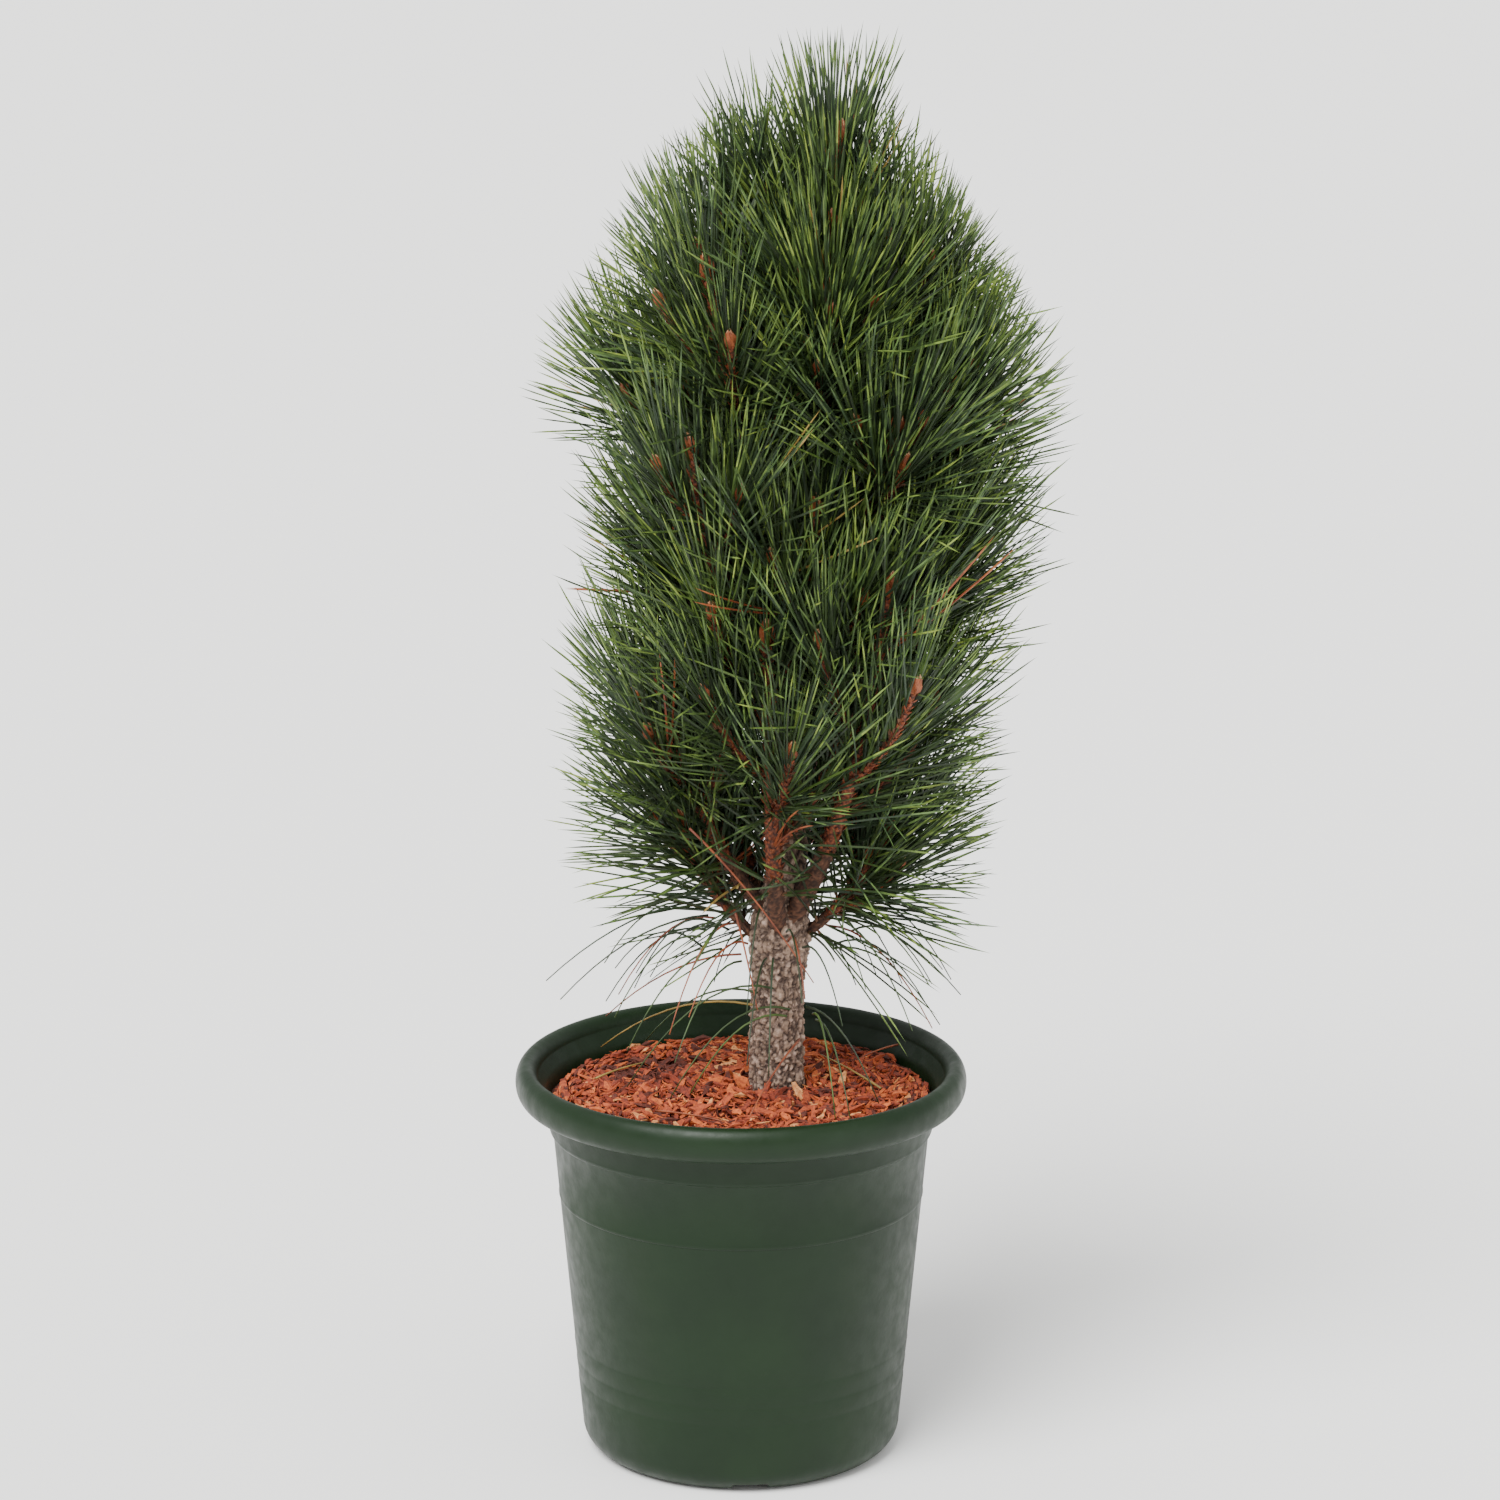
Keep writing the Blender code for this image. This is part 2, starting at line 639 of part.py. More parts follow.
def grow_needles(name, path, bare, count, spaces, rng, limb):
    """Needles all round a stem: nearly level on the old wood, upright and closer at the bud."""
    shapes = []
    phase = rng.uniform(0.0, 2 * math.pi)
    for i in range(count):
        share = (i + 0.5) / count
        place = bare + (1.0 - bare) * (STEM_FOOT_BARE + (1.0 - STEM_FOOT_BARE) * share)
        centre, direction = along_path(path, place)
        lean = TILT_AT_STEM_FOOT + (TILT_AT_BUD - TILT_AT_STEM_FOOT) * share**TILT_CURVE
        lean += rng.uniform(-TILT_SPREAD, TILT_SPREAD)
        turn = phase + i * GOLDEN_ANGLE + rng.uniform(-0.2, 0.2)
        way = tilted(direction, lean, turn)
        whole = OLD_NEEDLE + (YOUNG_NEEDLE - OLD_NEEDLE) * share
        whole *= rng.uniform(1.0 - NEEDLE_SPREAD, 1.0 + NEEDLE_SPREAD)
        root = centre + tilted(direction, 0.5 * math.pi, turn) * limb * NEEDLE_SINK
        clear_of_stem = root + way * 2.5 * limb
        roll = rng.uniform(0.0, 2 * math.pi)
        for cut in NEEDLE_CUTS:
            tip = root + way * whole * cut
            if spaces.holds(name, clear_of_stem, tip) and spaces.clear_of_needles(root, tip):
                shapes.append(spike(root, tip, NEEDLE_RADIUS, roll, f"{name}_needle"))
                break
    return shapes


def grow_twigs(name, path, bare, spaces, rng):
    """The lines of the side twigs that stay in the mass's own space."""
    twigs = []
    reach = path_length(path) * (1.0 - bare) * TWIG_SHARE
    for place in TWIG_PLACES:
        root, direction = along_path(path, bare + (1.0 - bare) * place)
        for _ in range(12):
            way = tilted(direction, TWIG_TILT, rng.uniform(0.0, 2 * math.pi))
            tip = root + way * reach + Vector((0.0, 0.0, reach * 0.12))
            if spaces.holds(name, root + way * 0.012, tip + way * BUD_LENGTH):
                twigs.append([root.lerp(tip, i / 4) for i in range(5)])
                break
    return twigs


def largest_shell(obj):
    """Keeps the shell with the most faces, so loose scraps go and sealed hollows are filled."""
    bm = bmesh.new()
    bm.from_mesh(obj.data)
    shells, unseen = [], set(bm.faces)
    while unseen:
        shell, edge_of_shell = set(), [unseen.pop()]
        while edge_of_shell:
            face = edge_of_shell.pop()
            shell.add(face)
            near = {other for edge in face.edges for other in edge.link_faces} & unseen
            unseen -= near
            edge_of_shell += near
        shells.append(shell)
    keep = max(shells, key=len)
    loose = [face for face in bm.faces if face not in keep]
    bmesh.ops.delete(bm, geom=loose, context="FACES")
    bmesh.ops.triangulate(bm, faces=bm.faces)
    bm.to_mesh(obj.data)
    bm.free()


def fuse(name, shapes, material):
    """Joins a mass's stem, twigs and needles in one Boolean union."""
    body = add_object(name, shapes[0], material)
    group = bpy.data.collections.new(f"{name}_pieces")
    bpy.context.scene.collection.children.link(group)
    for mesh in shapes[1:]:
        group.objects.link(bpy.data.objects.new(mesh.name, mesh))
    union = body.modifiers.new("union", "BOOLEAN")
    union.operation = "UNION"
    union.operand_type = "COLLECTION"
    union.collection = group
    union.solver = "EXACT"
    union.use_self = False
    bpy.context.view_layer.update()
    apply_modifiers(body)
    for piece in list(group.objects):
        bpy.data.objects.remove(piece, do_unlink=True)
    bpy.data.collections.remove(group)
    largest_shell(body)
    return body


def make_mass(shoot_name, path, bare, spaces, rng, material):
    """One shoot's needles, fused to its stem and side twigs."""
    name = f"needles_{shoot_name}"
    shapes = [stem_shape(name, path, bare)]
    count = round(NEEDLES_PER_METRE * path_length(path) * (1.0 - bare))
    shapes += grow_needles(shoot_name, path, bare, count, spaces, rng, SHOOT_TIP_RADIUS)
    for twig in grow_twigs(shoot_name, path, bare, spaces, rng):
        shapes.append(twig_shape(f"{name}_twig", twig))
        shapes += grow_needles(shoot_name, twig, 0.3, NEEDLES_PER_TWIG, spaces, rng, TWIG_RADIUS)
    return fuse(name, shapes, material)


def clear_scene():
    for obj in list(bpy.data.objects):
        bpy.data.objects.remove(obj, do_unlink=True)


def main():
    clear_scene()
    plastic = make_material("dark green plastic", "#2F3D2C", 0.42)
    peat = make_material("peat compost", "#2B1D14", 0.95)
    chips = make_material("bark mulch", "#A84A24", 0.9)
    bark = make_material("grey brown bark", "#7D6A5E", 0.9)
    green = make_material("pine needles", "#3A5228", 0.55)

    make_pot(plastic)
    make_compost(peat)
    trunk_space = make_trunk_space()
    make_mulch(chips, trunk_space)
    make_trunk(bark)

    spaces = Spaces()
    paths = {shoot.name: shoot_path(shoot) for shoot in SHOOTS}
    for shoot in SHOOTS:
        path = paths[shoot.name]
        edge = round(shoot.bare * PATH_STEPS)
        radii = [limb_radius(path_length(path), i / PATH_STEPS) for i in range(edge + 1)]
        spaces.add_limb(path[: edge + 1], radii)
        spaces.add_stem(shoot.name, path[edge:])
        make_bough(shoot, path, bark, trunk_space)
    for (low, low_radius), (high, high_radius) in zip(TRUNK_TAPER, TRUNK_TAPER[1:]):
        spaces.add_limb([trunk_centre(low), trunk_centre(high)], [low_radius, high_radius])
    spaces.add_stem(LEADER, leader_path())

    rng = random.Random(SEED)
    for shoot in SHOOTS:
        make_mass(shoot.name, paths[shoot.name], shoot.bare, spaces, rng, green)
    make_mass(LEADER, leader_path(), 0.0, spaces, rng, green)


main()
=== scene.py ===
# %% [markdown]
# # A young columnar pine in a plastic pot
# This lesson dresses a finished solid model: a pine about 68 cm tall in a nursery pot. The solids give
# every size and place. Blender adds what the eye enjoys: moulded plastic, shredded bark, flaking bark
# plates, scaly shoots, buds, and some twelve thousand needles.

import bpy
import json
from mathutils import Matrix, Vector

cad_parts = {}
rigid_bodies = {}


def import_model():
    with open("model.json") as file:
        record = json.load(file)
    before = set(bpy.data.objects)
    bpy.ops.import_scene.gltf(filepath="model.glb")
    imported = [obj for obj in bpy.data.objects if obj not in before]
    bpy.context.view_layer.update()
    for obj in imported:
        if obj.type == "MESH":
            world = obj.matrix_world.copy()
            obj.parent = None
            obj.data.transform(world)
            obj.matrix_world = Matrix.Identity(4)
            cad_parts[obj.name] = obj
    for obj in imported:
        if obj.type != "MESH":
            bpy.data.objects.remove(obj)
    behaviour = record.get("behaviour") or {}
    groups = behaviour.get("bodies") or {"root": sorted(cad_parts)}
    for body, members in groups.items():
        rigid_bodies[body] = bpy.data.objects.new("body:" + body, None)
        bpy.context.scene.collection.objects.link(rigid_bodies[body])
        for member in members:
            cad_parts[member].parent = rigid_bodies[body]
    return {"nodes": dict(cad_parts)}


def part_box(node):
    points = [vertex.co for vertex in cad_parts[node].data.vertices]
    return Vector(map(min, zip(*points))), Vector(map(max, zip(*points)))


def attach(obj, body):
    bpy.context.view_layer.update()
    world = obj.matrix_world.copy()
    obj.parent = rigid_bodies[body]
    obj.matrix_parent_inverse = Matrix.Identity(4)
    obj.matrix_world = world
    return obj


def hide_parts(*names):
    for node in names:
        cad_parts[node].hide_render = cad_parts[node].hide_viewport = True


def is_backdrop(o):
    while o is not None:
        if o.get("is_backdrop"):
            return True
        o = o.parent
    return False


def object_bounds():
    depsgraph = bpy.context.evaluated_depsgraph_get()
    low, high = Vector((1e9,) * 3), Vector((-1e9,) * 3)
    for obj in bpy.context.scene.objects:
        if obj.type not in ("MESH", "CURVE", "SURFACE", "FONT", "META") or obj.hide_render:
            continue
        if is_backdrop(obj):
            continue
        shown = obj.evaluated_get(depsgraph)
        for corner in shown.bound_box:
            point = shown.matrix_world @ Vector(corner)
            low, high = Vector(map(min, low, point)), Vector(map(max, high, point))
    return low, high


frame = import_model()
cad_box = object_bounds()
print("solids:", len(frame["nodes"]), "box:", [tuple(corner) for corner in cad_box])

# %% [markdown]
# ## Helpers for every finish
# Colours are easiest to read as the hex values of a paint program, but a shader wants linear light,
# so one function turns the one into the other. Another adds a node with its settings and its links,
# which keeps a node tree as short to write as it is to draw.

# %% Colour and node helpers
import json
import math
import random
from collections import namedtuple
from functools import partial

import bmesh
import bpy
import numpy as np
from mathutils import Matrix, Vector

MM = 0.001
SEED = 7


def linear(hex_colour):
    """An sRGB hex colour as the linear values that a shader takes."""
    channels = [int(hex_colour[i : i + 2], 16) / 255 for i in (1, 3, 5)]
    return [c / 12.92 if c <= 0.04045 else ((c + 0.055) / 1.055) ** 2.4 for c in channels] + [1.0]


def feed(node, inputs):
    """Sets a node's inputs to values, or links them from output sockets."""
    for place, value in inputs.items():
        if isinstance(value, bpy.types.NodeSocket):
            node.id_data.links.new(value, node.inputs[place])
        else:
            node.inputs[place].default_value = value


def add_node(tree, kind, inputs=None, stops=(), **settings):
    """Adds a node with its settings and inputs, and the (place, hex colour) stops of a ramp."""
    node = tree.nodes.new(kind)
    for name, value in settings.items():
        setattr(node, name, value)
    feed(node, inputs or {})
    if stops:
        elements = node.color_ramp.elements
        while len(elements) < len(stops):
            elements.new(0.5)
        for element, (place, colour) in zip(elements, stops):
            element.position = place
            element.color = linear(colour)
    return node


def result_of(tree, kind, inputs=None, **settings):
    """Adds a node and gives the first output that its settings leave in use."""
    outputs = add_node(tree, kind, inputs, **settings).outputs
    return next(socket for socket in outputs if socket.enabled)


# %% Material helpers
def new_material(name, colour, roughness, ior):
    """(material, what adds a node to it, its Principled shader, the object's coordinates)"""
    material = bpy.data.materials.new(name)
    material.use_nodes = True
    material.diffuse_color = linear(colour)
    tree = material.node_tree
    shader = tree.nodes["Principled BSDF"]
    feed(shader, {"Base Color": linear(colour), "Roughness": roughness, "IOR": ior})
    place = add_node(tree, "ShaderNodeTexCoord").outputs["Object"]
    return material, partial(result_of, tree), shader, place


def coat(node, shader, colour, height, depth):
    """Gives a shader its colour and, from a height in 0..1, relief of this depth."""
    feed(shader, {"Base Color": colour})
    if depth:
        bumped = {"Height": height, "Distance": depth, "Strength": 1.0}
        feed(shader, {"Normal": node("ShaderNodeBump", bumped)})


def grainy(name, colour, roughness, ior, grain, detail, stops, depth=0.0):
    """A material whose colour follows noise with this size of grain, and whose relief may too."""
    material, node, shader, place = new_material(name, colour, roughness, ior)
    noise = node("ShaderNodeTexNoise", {"Vector": place, "Scale": 1 / grain, "Detail": detail})
    coat(node, shader, node("ShaderNodeValToRGB", {"Fac": noise}, stops=stops), noise, depth)
    return material


# %% [markdown]
# ## Helpers for geometry nodes
# A geometry node tree is a recipe: geometry goes in, values steer it, geometry comes out. The modifier
# that runs it knows each input only by its identifier, so the values are set through the tree's own
# list of sockets. Once the recipe has run, the result is kept as a plain mesh and the recipe is thrown
# away, because a mesh survives every export and a modifier may not.

# %% Geometry node and object helpers
# What the points and faces of small things carry for the trees, and the kind of each.
FACTS = {
    "aim": "FLOAT_VECTOR",
    "side": "FLOAT_VECTOR",
    "size": "FLOAT_VECTOR",
    "bend": "FLOAT_VECTOR",
    "shape": "INT",
    "tone": "FLOAT",
    "part": "FLOAT",
    "along": "FLOAT",
}


def new_tree(name, inputs):
    """An empty recipe with named inputs: (tree, what adds a node, the inputs, the output node)"""
    tree = bpy.data.node_groups.new(name, "GeometryNodeTree")
    tree.interface.new_socket("Geometry", in_out="INPUT", socket_type="NodeSocketGeometry")
    for label, kind in inputs.items():
        tree.interface.new_socket(label, in_out="INPUT", socket_type=f"NodeSocket{kind}")
    tree.interface.new_socket("Geometry", in_out="OUTPUT", socket_type="NodeSocketGeometry")
    given = add_node(tree, "NodeGroupInput").outputs
    return tree, partial(result_of, tree), given, add_node(tree, "NodeGroupOutput")


def keep_result(obj):
    """Gives the object the mesh that its modifiers make, and removes them."""
    graph = bpy.context.evaluated_depsgraph_get()
    mesh = bpy.data.meshes.new_from_object(obj.evaluated_get(graph))
    obj.modifiers.clear()
    obj.data = mesh


def run_tree(obj, tree, **values):
    """Runs a recipe on an object with these input values, and keeps the result as its plain mesh."""
    modifier = obj.modifiers.new(tree.name, "NODES")
    modifier.node_group = tree
    for socket in tree.interface.items_tree:
        label = socket.name.replace(" ", "_")
        if socket.in_out == "INPUT" and label in values:
            modifier[socket.identifier] = values[label]
    keep_result(obj)


def add_object(name, data):
    obj = bpy.data.objects.new(name, data)
    bpy.context.scene.collection.objects.link(obj)
    return obj


def object_from(bm, name, smooth=True):
    """Turns a bmesh into an object with its faces pointing out."""
    bmesh.ops.recalc_face_normals(bm, faces=bm.faces)
    mesh = bpy.data.meshes.new(name)
    bm.to_mesh(mesh)
    bm.free()
    if smooth:
        mesh.shade_smooth()
    return add_object(name, mesh)


def skin(bm, rings):
    """Joins rings of corners by bands of faces, and closes both ends."""
    for lower, upper in zip(rings, rings[1:]):
        for k in range(len(lower)):
            bm.faces.new((lower[k - 1], lower[k], upper[k], upper[k - 1]))
    bm.faces.new(rings[0])
    bm.faces.new(rings[-1])


def put_on(piece, slot, *nodes, material=None):
    """A finished piece rides on the plant and stands for these solids. Its slot is not used."""
    # By now the facts have done their work.
    for label in FACTS:
        if label in piece.data.attributes:
            piece.data.attributes.remove(piece.data.attributes[label])
    if material:
        piece.data.materials.append(material)
    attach(piece, "root")
    if nodes:
        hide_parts(*nodes)
    print(f"{piece.name}: {len(piece.data.polygons)} faces, stands for {len(nodes)} solids")


# %% [markdown]
# ## The camera
# The photograph looks down on the pot: its rim is a wide ellipse. The ratio of that ellipse's axes
# gives the tilt, and the way the pot narrows gives the distance. A long lens from three metres keeps
# the pot's sides almost parallel, as in the photograph.

# %% Camera at the photograph's viewing angle
IMAGE_SIZE = 1500
CAMERA_PLACE = (0.0, -3.0226, 1.2032)
CAMERA_AIM = (0.0, 0.0, 0.447)
FOCAL_PIXELS = 5100.7
POT_AXIS_PIXEL = 741
SENSOR = 36.0


def look(obj, place, aim):
    """Puts a camera or a lamp at a place and turns it towards another."""
    obj.location = place
    obj.rotation_euler = (Vector(aim) - Vector(place)).to_track_quat("-Z", "Y").to_euler()


camera_data = bpy.data.cameras.new("camera")
camera_data.sensor_width = SENSOR
camera_data.lens = SENSOR * FOCAL_PIXELS / IMAGE_SIZE
camera_data.shift_x = (IMAGE_SIZE / 2 - POT_AXIS_PIXEL) / IMAGE_SIZE
camera_data.dof.use_dof = False
camera = add_object("camera", camera_data)
look(camera, CAMERA_PLACE, CAMERA_AIM)
bpy.context.scene.camera = camera
print(f"lens {camera_data.lens:.1f} mm")

# %% [markdown]
# ## The pot's plastic
# Nursery pots are injection moulded from polypropylene, coloured right through. The mould leaves a
# satin skin with a very fine orange peel, and handling leaves pale rubs and dust on it. So the colour
# hardly changes, and most of the work is done by a roughness that wanders and a very weak relief.

# %% Dark green polypropylene
def pot_plastic():
    """Satin plastic. Fine scratches spread its reflections, so they are soft and weak."""
    material, node, shader, place = new_material("moulded polypropylene, dark green", "#0F220D", 0.42, 1.49)
    clouds, dust, peel = (
        node("ShaderNodeTexNoise", {"Vector": place, "Scale": 1 / size, "Detail": detail})
        for size, detail in ((60 * MM, 3.0), (9 * MM, 6.0), (2.5 * MM, 2.0))
    )
    colour = node("ShaderNodeValToRGB", {"Fac": clouds}, stops=((0.3, "#0D1E0C"), (0.7, "#12240F")))
    rubbed = {"Value": dust, "From Min": 0.62, "From Max": 0.8, "To Max": 0.10}
    mixing = {"Factor": node("ShaderNodeMapRange", rubbed), "A": colour, "B": linear("#2E3829")}
    gloss = {"Value": dust, "From Min": 0.3, "From Max": 0.8, "To Min": 0.36, "To Max": 0.56}
    # The orange peel is drawn coarser than it is, so that it shows.
    coat(node, shader, node("ShaderNodeMix", mixing, data_type="RGBA"), peel, 0.06 * MM)
    feed(shader, {"Roughness": node("ShaderNodeMapRange", gloss), "Specular IOR Level": 0.22})
    return material


plastic = pot_plastic()

# %% [markdown]
# ## The pot
# A pot like this is a turned shape, so it is drawn as half a section and swept round by a Screw
# modifier. The section repeats the solid's own sizes, but with many more steps: a round roll at the
# rim, the collar under it, a stacking step, and the faint rings that the mould leaves near the foot.
# Three drain channels cross the foot, and each is cut with a Boolean after its tunnel is added.

# %% Section of the pot
RIM_RADIUS = 0.140
POT_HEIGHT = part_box("pot")[1].z
WALL = 2.0 * MM
ROLL_HALF_WIDTH = 7.0 * MM
ROLL_HALF_HEIGHT = 11.0 * MM
COLLAR_TOP_RADIUS = 0.1235
COLLAR_FOOT_RADIUS = 0.1180
COLLAR_FOOT = 0.205
BODY_TOP_RADIUS = 0.1168
STEP_HEIGHT = 0.164
STEP_DEPTH = 0.6 * MM
FOOT_RADIUS = 0.0995
CORNER_RADIUS = 16.0 * MM
# Heights of the corners of the inner wall: the first lies just under its bend.
INNER_CORNERS = (COLLAR_FOOT - 1e-6, 0.215, 0.2285)
MOULD_RINGS = (0.071, 0.058, 0.046)
RING_DEPTH = 0.14 * MM
RING_SECTION = ((1.4, 0.0), (0.5, 1.0), (-0.5, 1.0), (-1.4, 0.0))
POT_SEGMENTS = 160
CHANNEL_COUNT = 3
CHANNEL_AZIMUTH = math.radians(-86.5)
CHANNEL_FOOT_WIDTH = 26.0 * MM
CHANNEL_TOP_WIDTH = 21.0 * MM
CHANNEL_HEIGHT = 6.0 * MM
CHANNEL_START = 50.0 * MM
TUNNEL_END = 87.0 * MM
SHARP_ANGLE = math.radians(40)


def arc(centre_x, centre_z, radius_x, radius_z, start, end, steps):
    """Points on an oval arc from start to end, in degrees."""
    angles = [math.radians(start + (end - start) * i / steps) for i in range(steps + 1)]
    return [(centre_x + radius_x * math.cos(a), centre_z + radius_z * math.sin(a)) for a in angles]


def outer_radius(height):
    """The straight, tapering body of the pot between its foot and its collar."""
    share = (height - CORNER_RADIUS) / (COLLAR_FOOT - CORNER_RADIUS)
    return FOOT_RADIUS + (BODY_TOP_RADIUS - FOOT_RADIUS) * share


def inner_radius(height):
    """The pot's inner wall, which opens out a little above the collar's foot."""
    low = outer_radius(COLLAR_FOOT) - WALL
    high_z = POT_HEIGHT - 1.3 * ROLL_HALF_HEIGHT
    share = (height - COLLAR_FOOT) / (high_z - COLLAR_FOOT)
    return low + (COLLAR_TOP_RADIUS - WALL - low) * max(share, 0.0)


def pot_section():
    """Half the pot's section, from the middle of its floor up the inside and down the outside."""
    roll_x = RIM_RADIUS - ROLL_HALF_WIDTH
    roll_z = POT_HEIGHT - ROLL_HALF_HEIGHT
    corner = CORNER_RADIUS - WALL
    section = [(0.0, WALL)]
    section += arc(outer_radius(CORNER_RADIUS) - WALL - corner, CORNER_RADIUS, corner, corner, -90, 0, 6)
    section += [(inner_radius(z), z) for z in INNER_CORNERS]
    section.append((COLLAR_TOP_RADIUS - WALL, roll_z - 0.3 * ROLL_HALF_HEIGHT))
    section += arc(roll_x, roll_z, ROLL_HALF_WIDTH, ROLL_HALF_HEIGHT, 170, -70, 32)
    section.append((COLLAR_TOP_RADIUS + 1.0 * MM, roll_z - 1.02 * ROLL_HALF_HEIGHT))
    section += arc(COLLAR_FOOT_RADIUS - 0.2 * MM, COLLAR_FOOT + 3.4 * MM, 1.4 * MM, 2.4 * MM, 20, -80, 5)
    section.append((outer_radius(COLLAR_FOOT), COLLAR_FOOT - 0.6 * MM))
    section += arc(outer_radius(STEP_HEIGHT), STEP_HEIGHT + 1.6 * MM, STEP_DEPTH, 1.6 * MM, 60, -90, 5)
    for height in MOULD_RINGS:
        radius = outer_radius(height)
        section += [(radius - depth * RING_DEPTH, height + rise * MM) for rise, depth in RING_SECTION]
    section += arc(FOOT_RADIUS - CORNER_RADIUS, CORNER_RADIUS, CORNER_RADIUS, CORNER_RADIUS, 0, -90, 10)
    return section + [(0.0, 0.0)]


# %% Turn the section and cut the drain channels
def turned(name, section, segments):
    """A body turned about the Z axis."""
    bm = bmesh.new()
    corners = [bm.verts.new((radius, 0.0, height)) for radius, height in section]
    for first, second in zip(corners, corners[1:]):
        bm.edges.new((first, second))
    obj = object_from(bm, name, smooth=False)
    screw = obj.modifiers.new("turn", "SCREW")
    screw.axis = "Z"
    screw.steps = segments
    screw.render_steps = segments
    screw.use_merge_vertices = True
    screw.merge_threshold = 0.01 * MM
    return obj


def channel_prism(name, azimuth, start, end, low, high, foot_width, top_width):
    """A bar of trapezoid section along a radius of the pot's floor, narrower at its top."""
    half_foot, half_top = foot_width / 2, top_width / 2
    section = [(-half_foot, low), (half_foot, low), (half_top, high), (-half_top, high)]
    bm = bmesh.new()
    ends = [[bm.verts.new((radius, across, z)) for across, z in section] for radius in (start, end)]
    bm.faces.new(ends[0])
    bm.faces.new(ends[1])
    for i in range(4):
        bm.faces.new((ends[0][i], ends[0][i - 1], ends[1][i - 1], ends[1][i]))
    bm.transform(Matrix.Rotation(azimuth, 4, "Z"))
    return object_from(bm, name, smooth=False)


tunnel = (CHANNEL_START - WALL, TUNNEL_END, WALL / 2, CHANNEL_HEIGHT + WALL)
tunnel += (CHANNEL_FOOT_WIDTH + 2 * WALL, CHANNEL_TOP_WIDTH + 2 * WALL)
channel = (CHANNEL_START, RIM_RADIUS, -CHANNEL_HEIGHT, CHANNEL_HEIGHT)
channel += (2 * CHANNEL_FOOT_WIDTH - CHANNEL_TOP_WIDTH, CHANNEL_TOP_WIDTH)
pot = turned("plastic_pot", pot_section(), POT_SEGMENTS)
tools = []
for operation, sizes in (("UNION", tunnel), ("DIFFERENCE", channel)):
    for i in range(CHANNEL_COUNT):
        azimuth = CHANNEL_AZIMUTH + 2 * math.pi * i / CHANNEL_COUNT
        tools.append(channel_prism(f"{operation}_{i}", azimuth, *sizes))
        modifier = pot.modifiers.new(tools[-1].name, "BOOLEAN")
        modifier.operation = operation
        modifier.object = tools[-1]
        modifier.solver = "EXACT"
keep_result(pot)
for tool in tools:
    bpy.data.objects.remove(tool, do_unlink=True)
pot.data.shade_smooth()
pot.data.set_sharp_from_angle(angle=SHARP_ANGLE)
pot.data.materials.clear()
put_on(pot, "plastic", "pot", material=plastic)

# %% [markdown]
# ## Compost
# Under the bark lies dark, damp compost. It shows only through the gaps of the bark, so the plain
# solid stays, with a crumbly finish of its own.

# %% Peat compost
COMPOST_STOPS = ((0.35, "#120B07"), (0.65, "#332115"))
# Peat is matt and nearly black. Its crumbs are a few millimetres wide, so its relief is deep.
peat = grainy("damp peat compost", "#1C120C", 0.95, 1.4, 4 * MM, 5.0, COMPOST_STOPS, 1.5 * MM)
compost = frame["nodes"]["compost"]
compost.data.materials.clear()
compost.data.materials.append(peat)
print("compost keeps its solid")

# %% [markdown]
# ## The bed of bark
# Shredded bark is a heap of splinters. Modelling only splinters would need too many to hide what is
# below, so a rough bed, dark with painted shade, carries them: a fine grid of rings that follows the
# heap's own height rule, high round the trunk and low at the wall, with one hollow. A geometry node tree
# roughens it.

# %% Dark bed under the chips
TRUNK_FOOT = Vector((0.022, 0.0))
COMPOST_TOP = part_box("compost")[1].z
OVER_COMPOST = COMPOST_TOP + 0.3 * MM
MULCH_AT_TRUNK = 0.235
MULCH_AT_WALL = 0.226
HOLLOW = Vector((-0.062, 0.048))
HOLLOW_RADIUS = 0.034
HOLLOW_DEPTH = 0.006
BED_DROP = 2.5 * MM
BED_REACH = inner_radius(MULCH_AT_WALL) - 0.8 * MM
BED_RINGS = 44
BED_SPOKES = 132
SKIRT_SHARE = 0.985
BED_ROUGHNESS = 6 * MM
# Dark red browns of the bed: bark dust, darkened further as painted shade.
DUST_AND_SHADE_STOPS = ((0.32, "#2A0F0A"), (0.5, "#5A2415"), (0.68, "#94431F"))


def mulch_height(x, y):
    """The heap's surface without its roughness."""
    share = min((Vector((x, y)) - TRUNK_FOOT).length / BODY_TOP_RADIUS, 1.0)
    height = MULCH_AT_TRUNK + (MULCH_AT_WALL - MULCH_AT_TRUNK) * share
    from_hollow = (Vector((x, y)) - HOLLOW).length
    if from_hollow < HOLLOW_RADIUS:
        height -= HOLLOW_DEPTH * math.cos(0.5 * math.pi * from_hollow / HOLLOW_RADIUS)
    return height


def make_bed():
    """A round heap: rings of corners on the surface, then a skirt down to the compost."""
    bm = bmesh.new()
    top = bm.verts.new((0.0, 0.0, mulch_height(0.0, 0.0) - BED_DROP))
    rings = []
    for ring in range(1, BED_RINGS + 1):
        radius = BED_REACH * ring / BED_RINGS
        rings.append([])
        for spoke in range(BED_SPOKES):
            angle = 2 * math.pi * spoke / BED_SPOKES
            x, y = radius * math.cos(angle), radius * math.sin(angle)
            rings[-1].append(bm.verts.new((x, y, mulch_height(x, y) - BED_DROP)))
    skirt = [bm.verts.new((v.co.x * SKIRT_SHARE, v.co.y * SKIRT_SHARE, OVER_COMPOST)) for v in rings[-1]]
    rings.append(skirt)
    for i in range(BED_SPOKES):
        bm.faces.new((top, rings[0][i - 1], rings[0][i]))
        for inner, outer in zip(rings, rings[1:]):
            bm.faces.new((inner[i - 1], outer[i - 1], outer[i], inner[i]))
    bm.faces.new(skirt)
    return object_from(bm, "bark_bed")


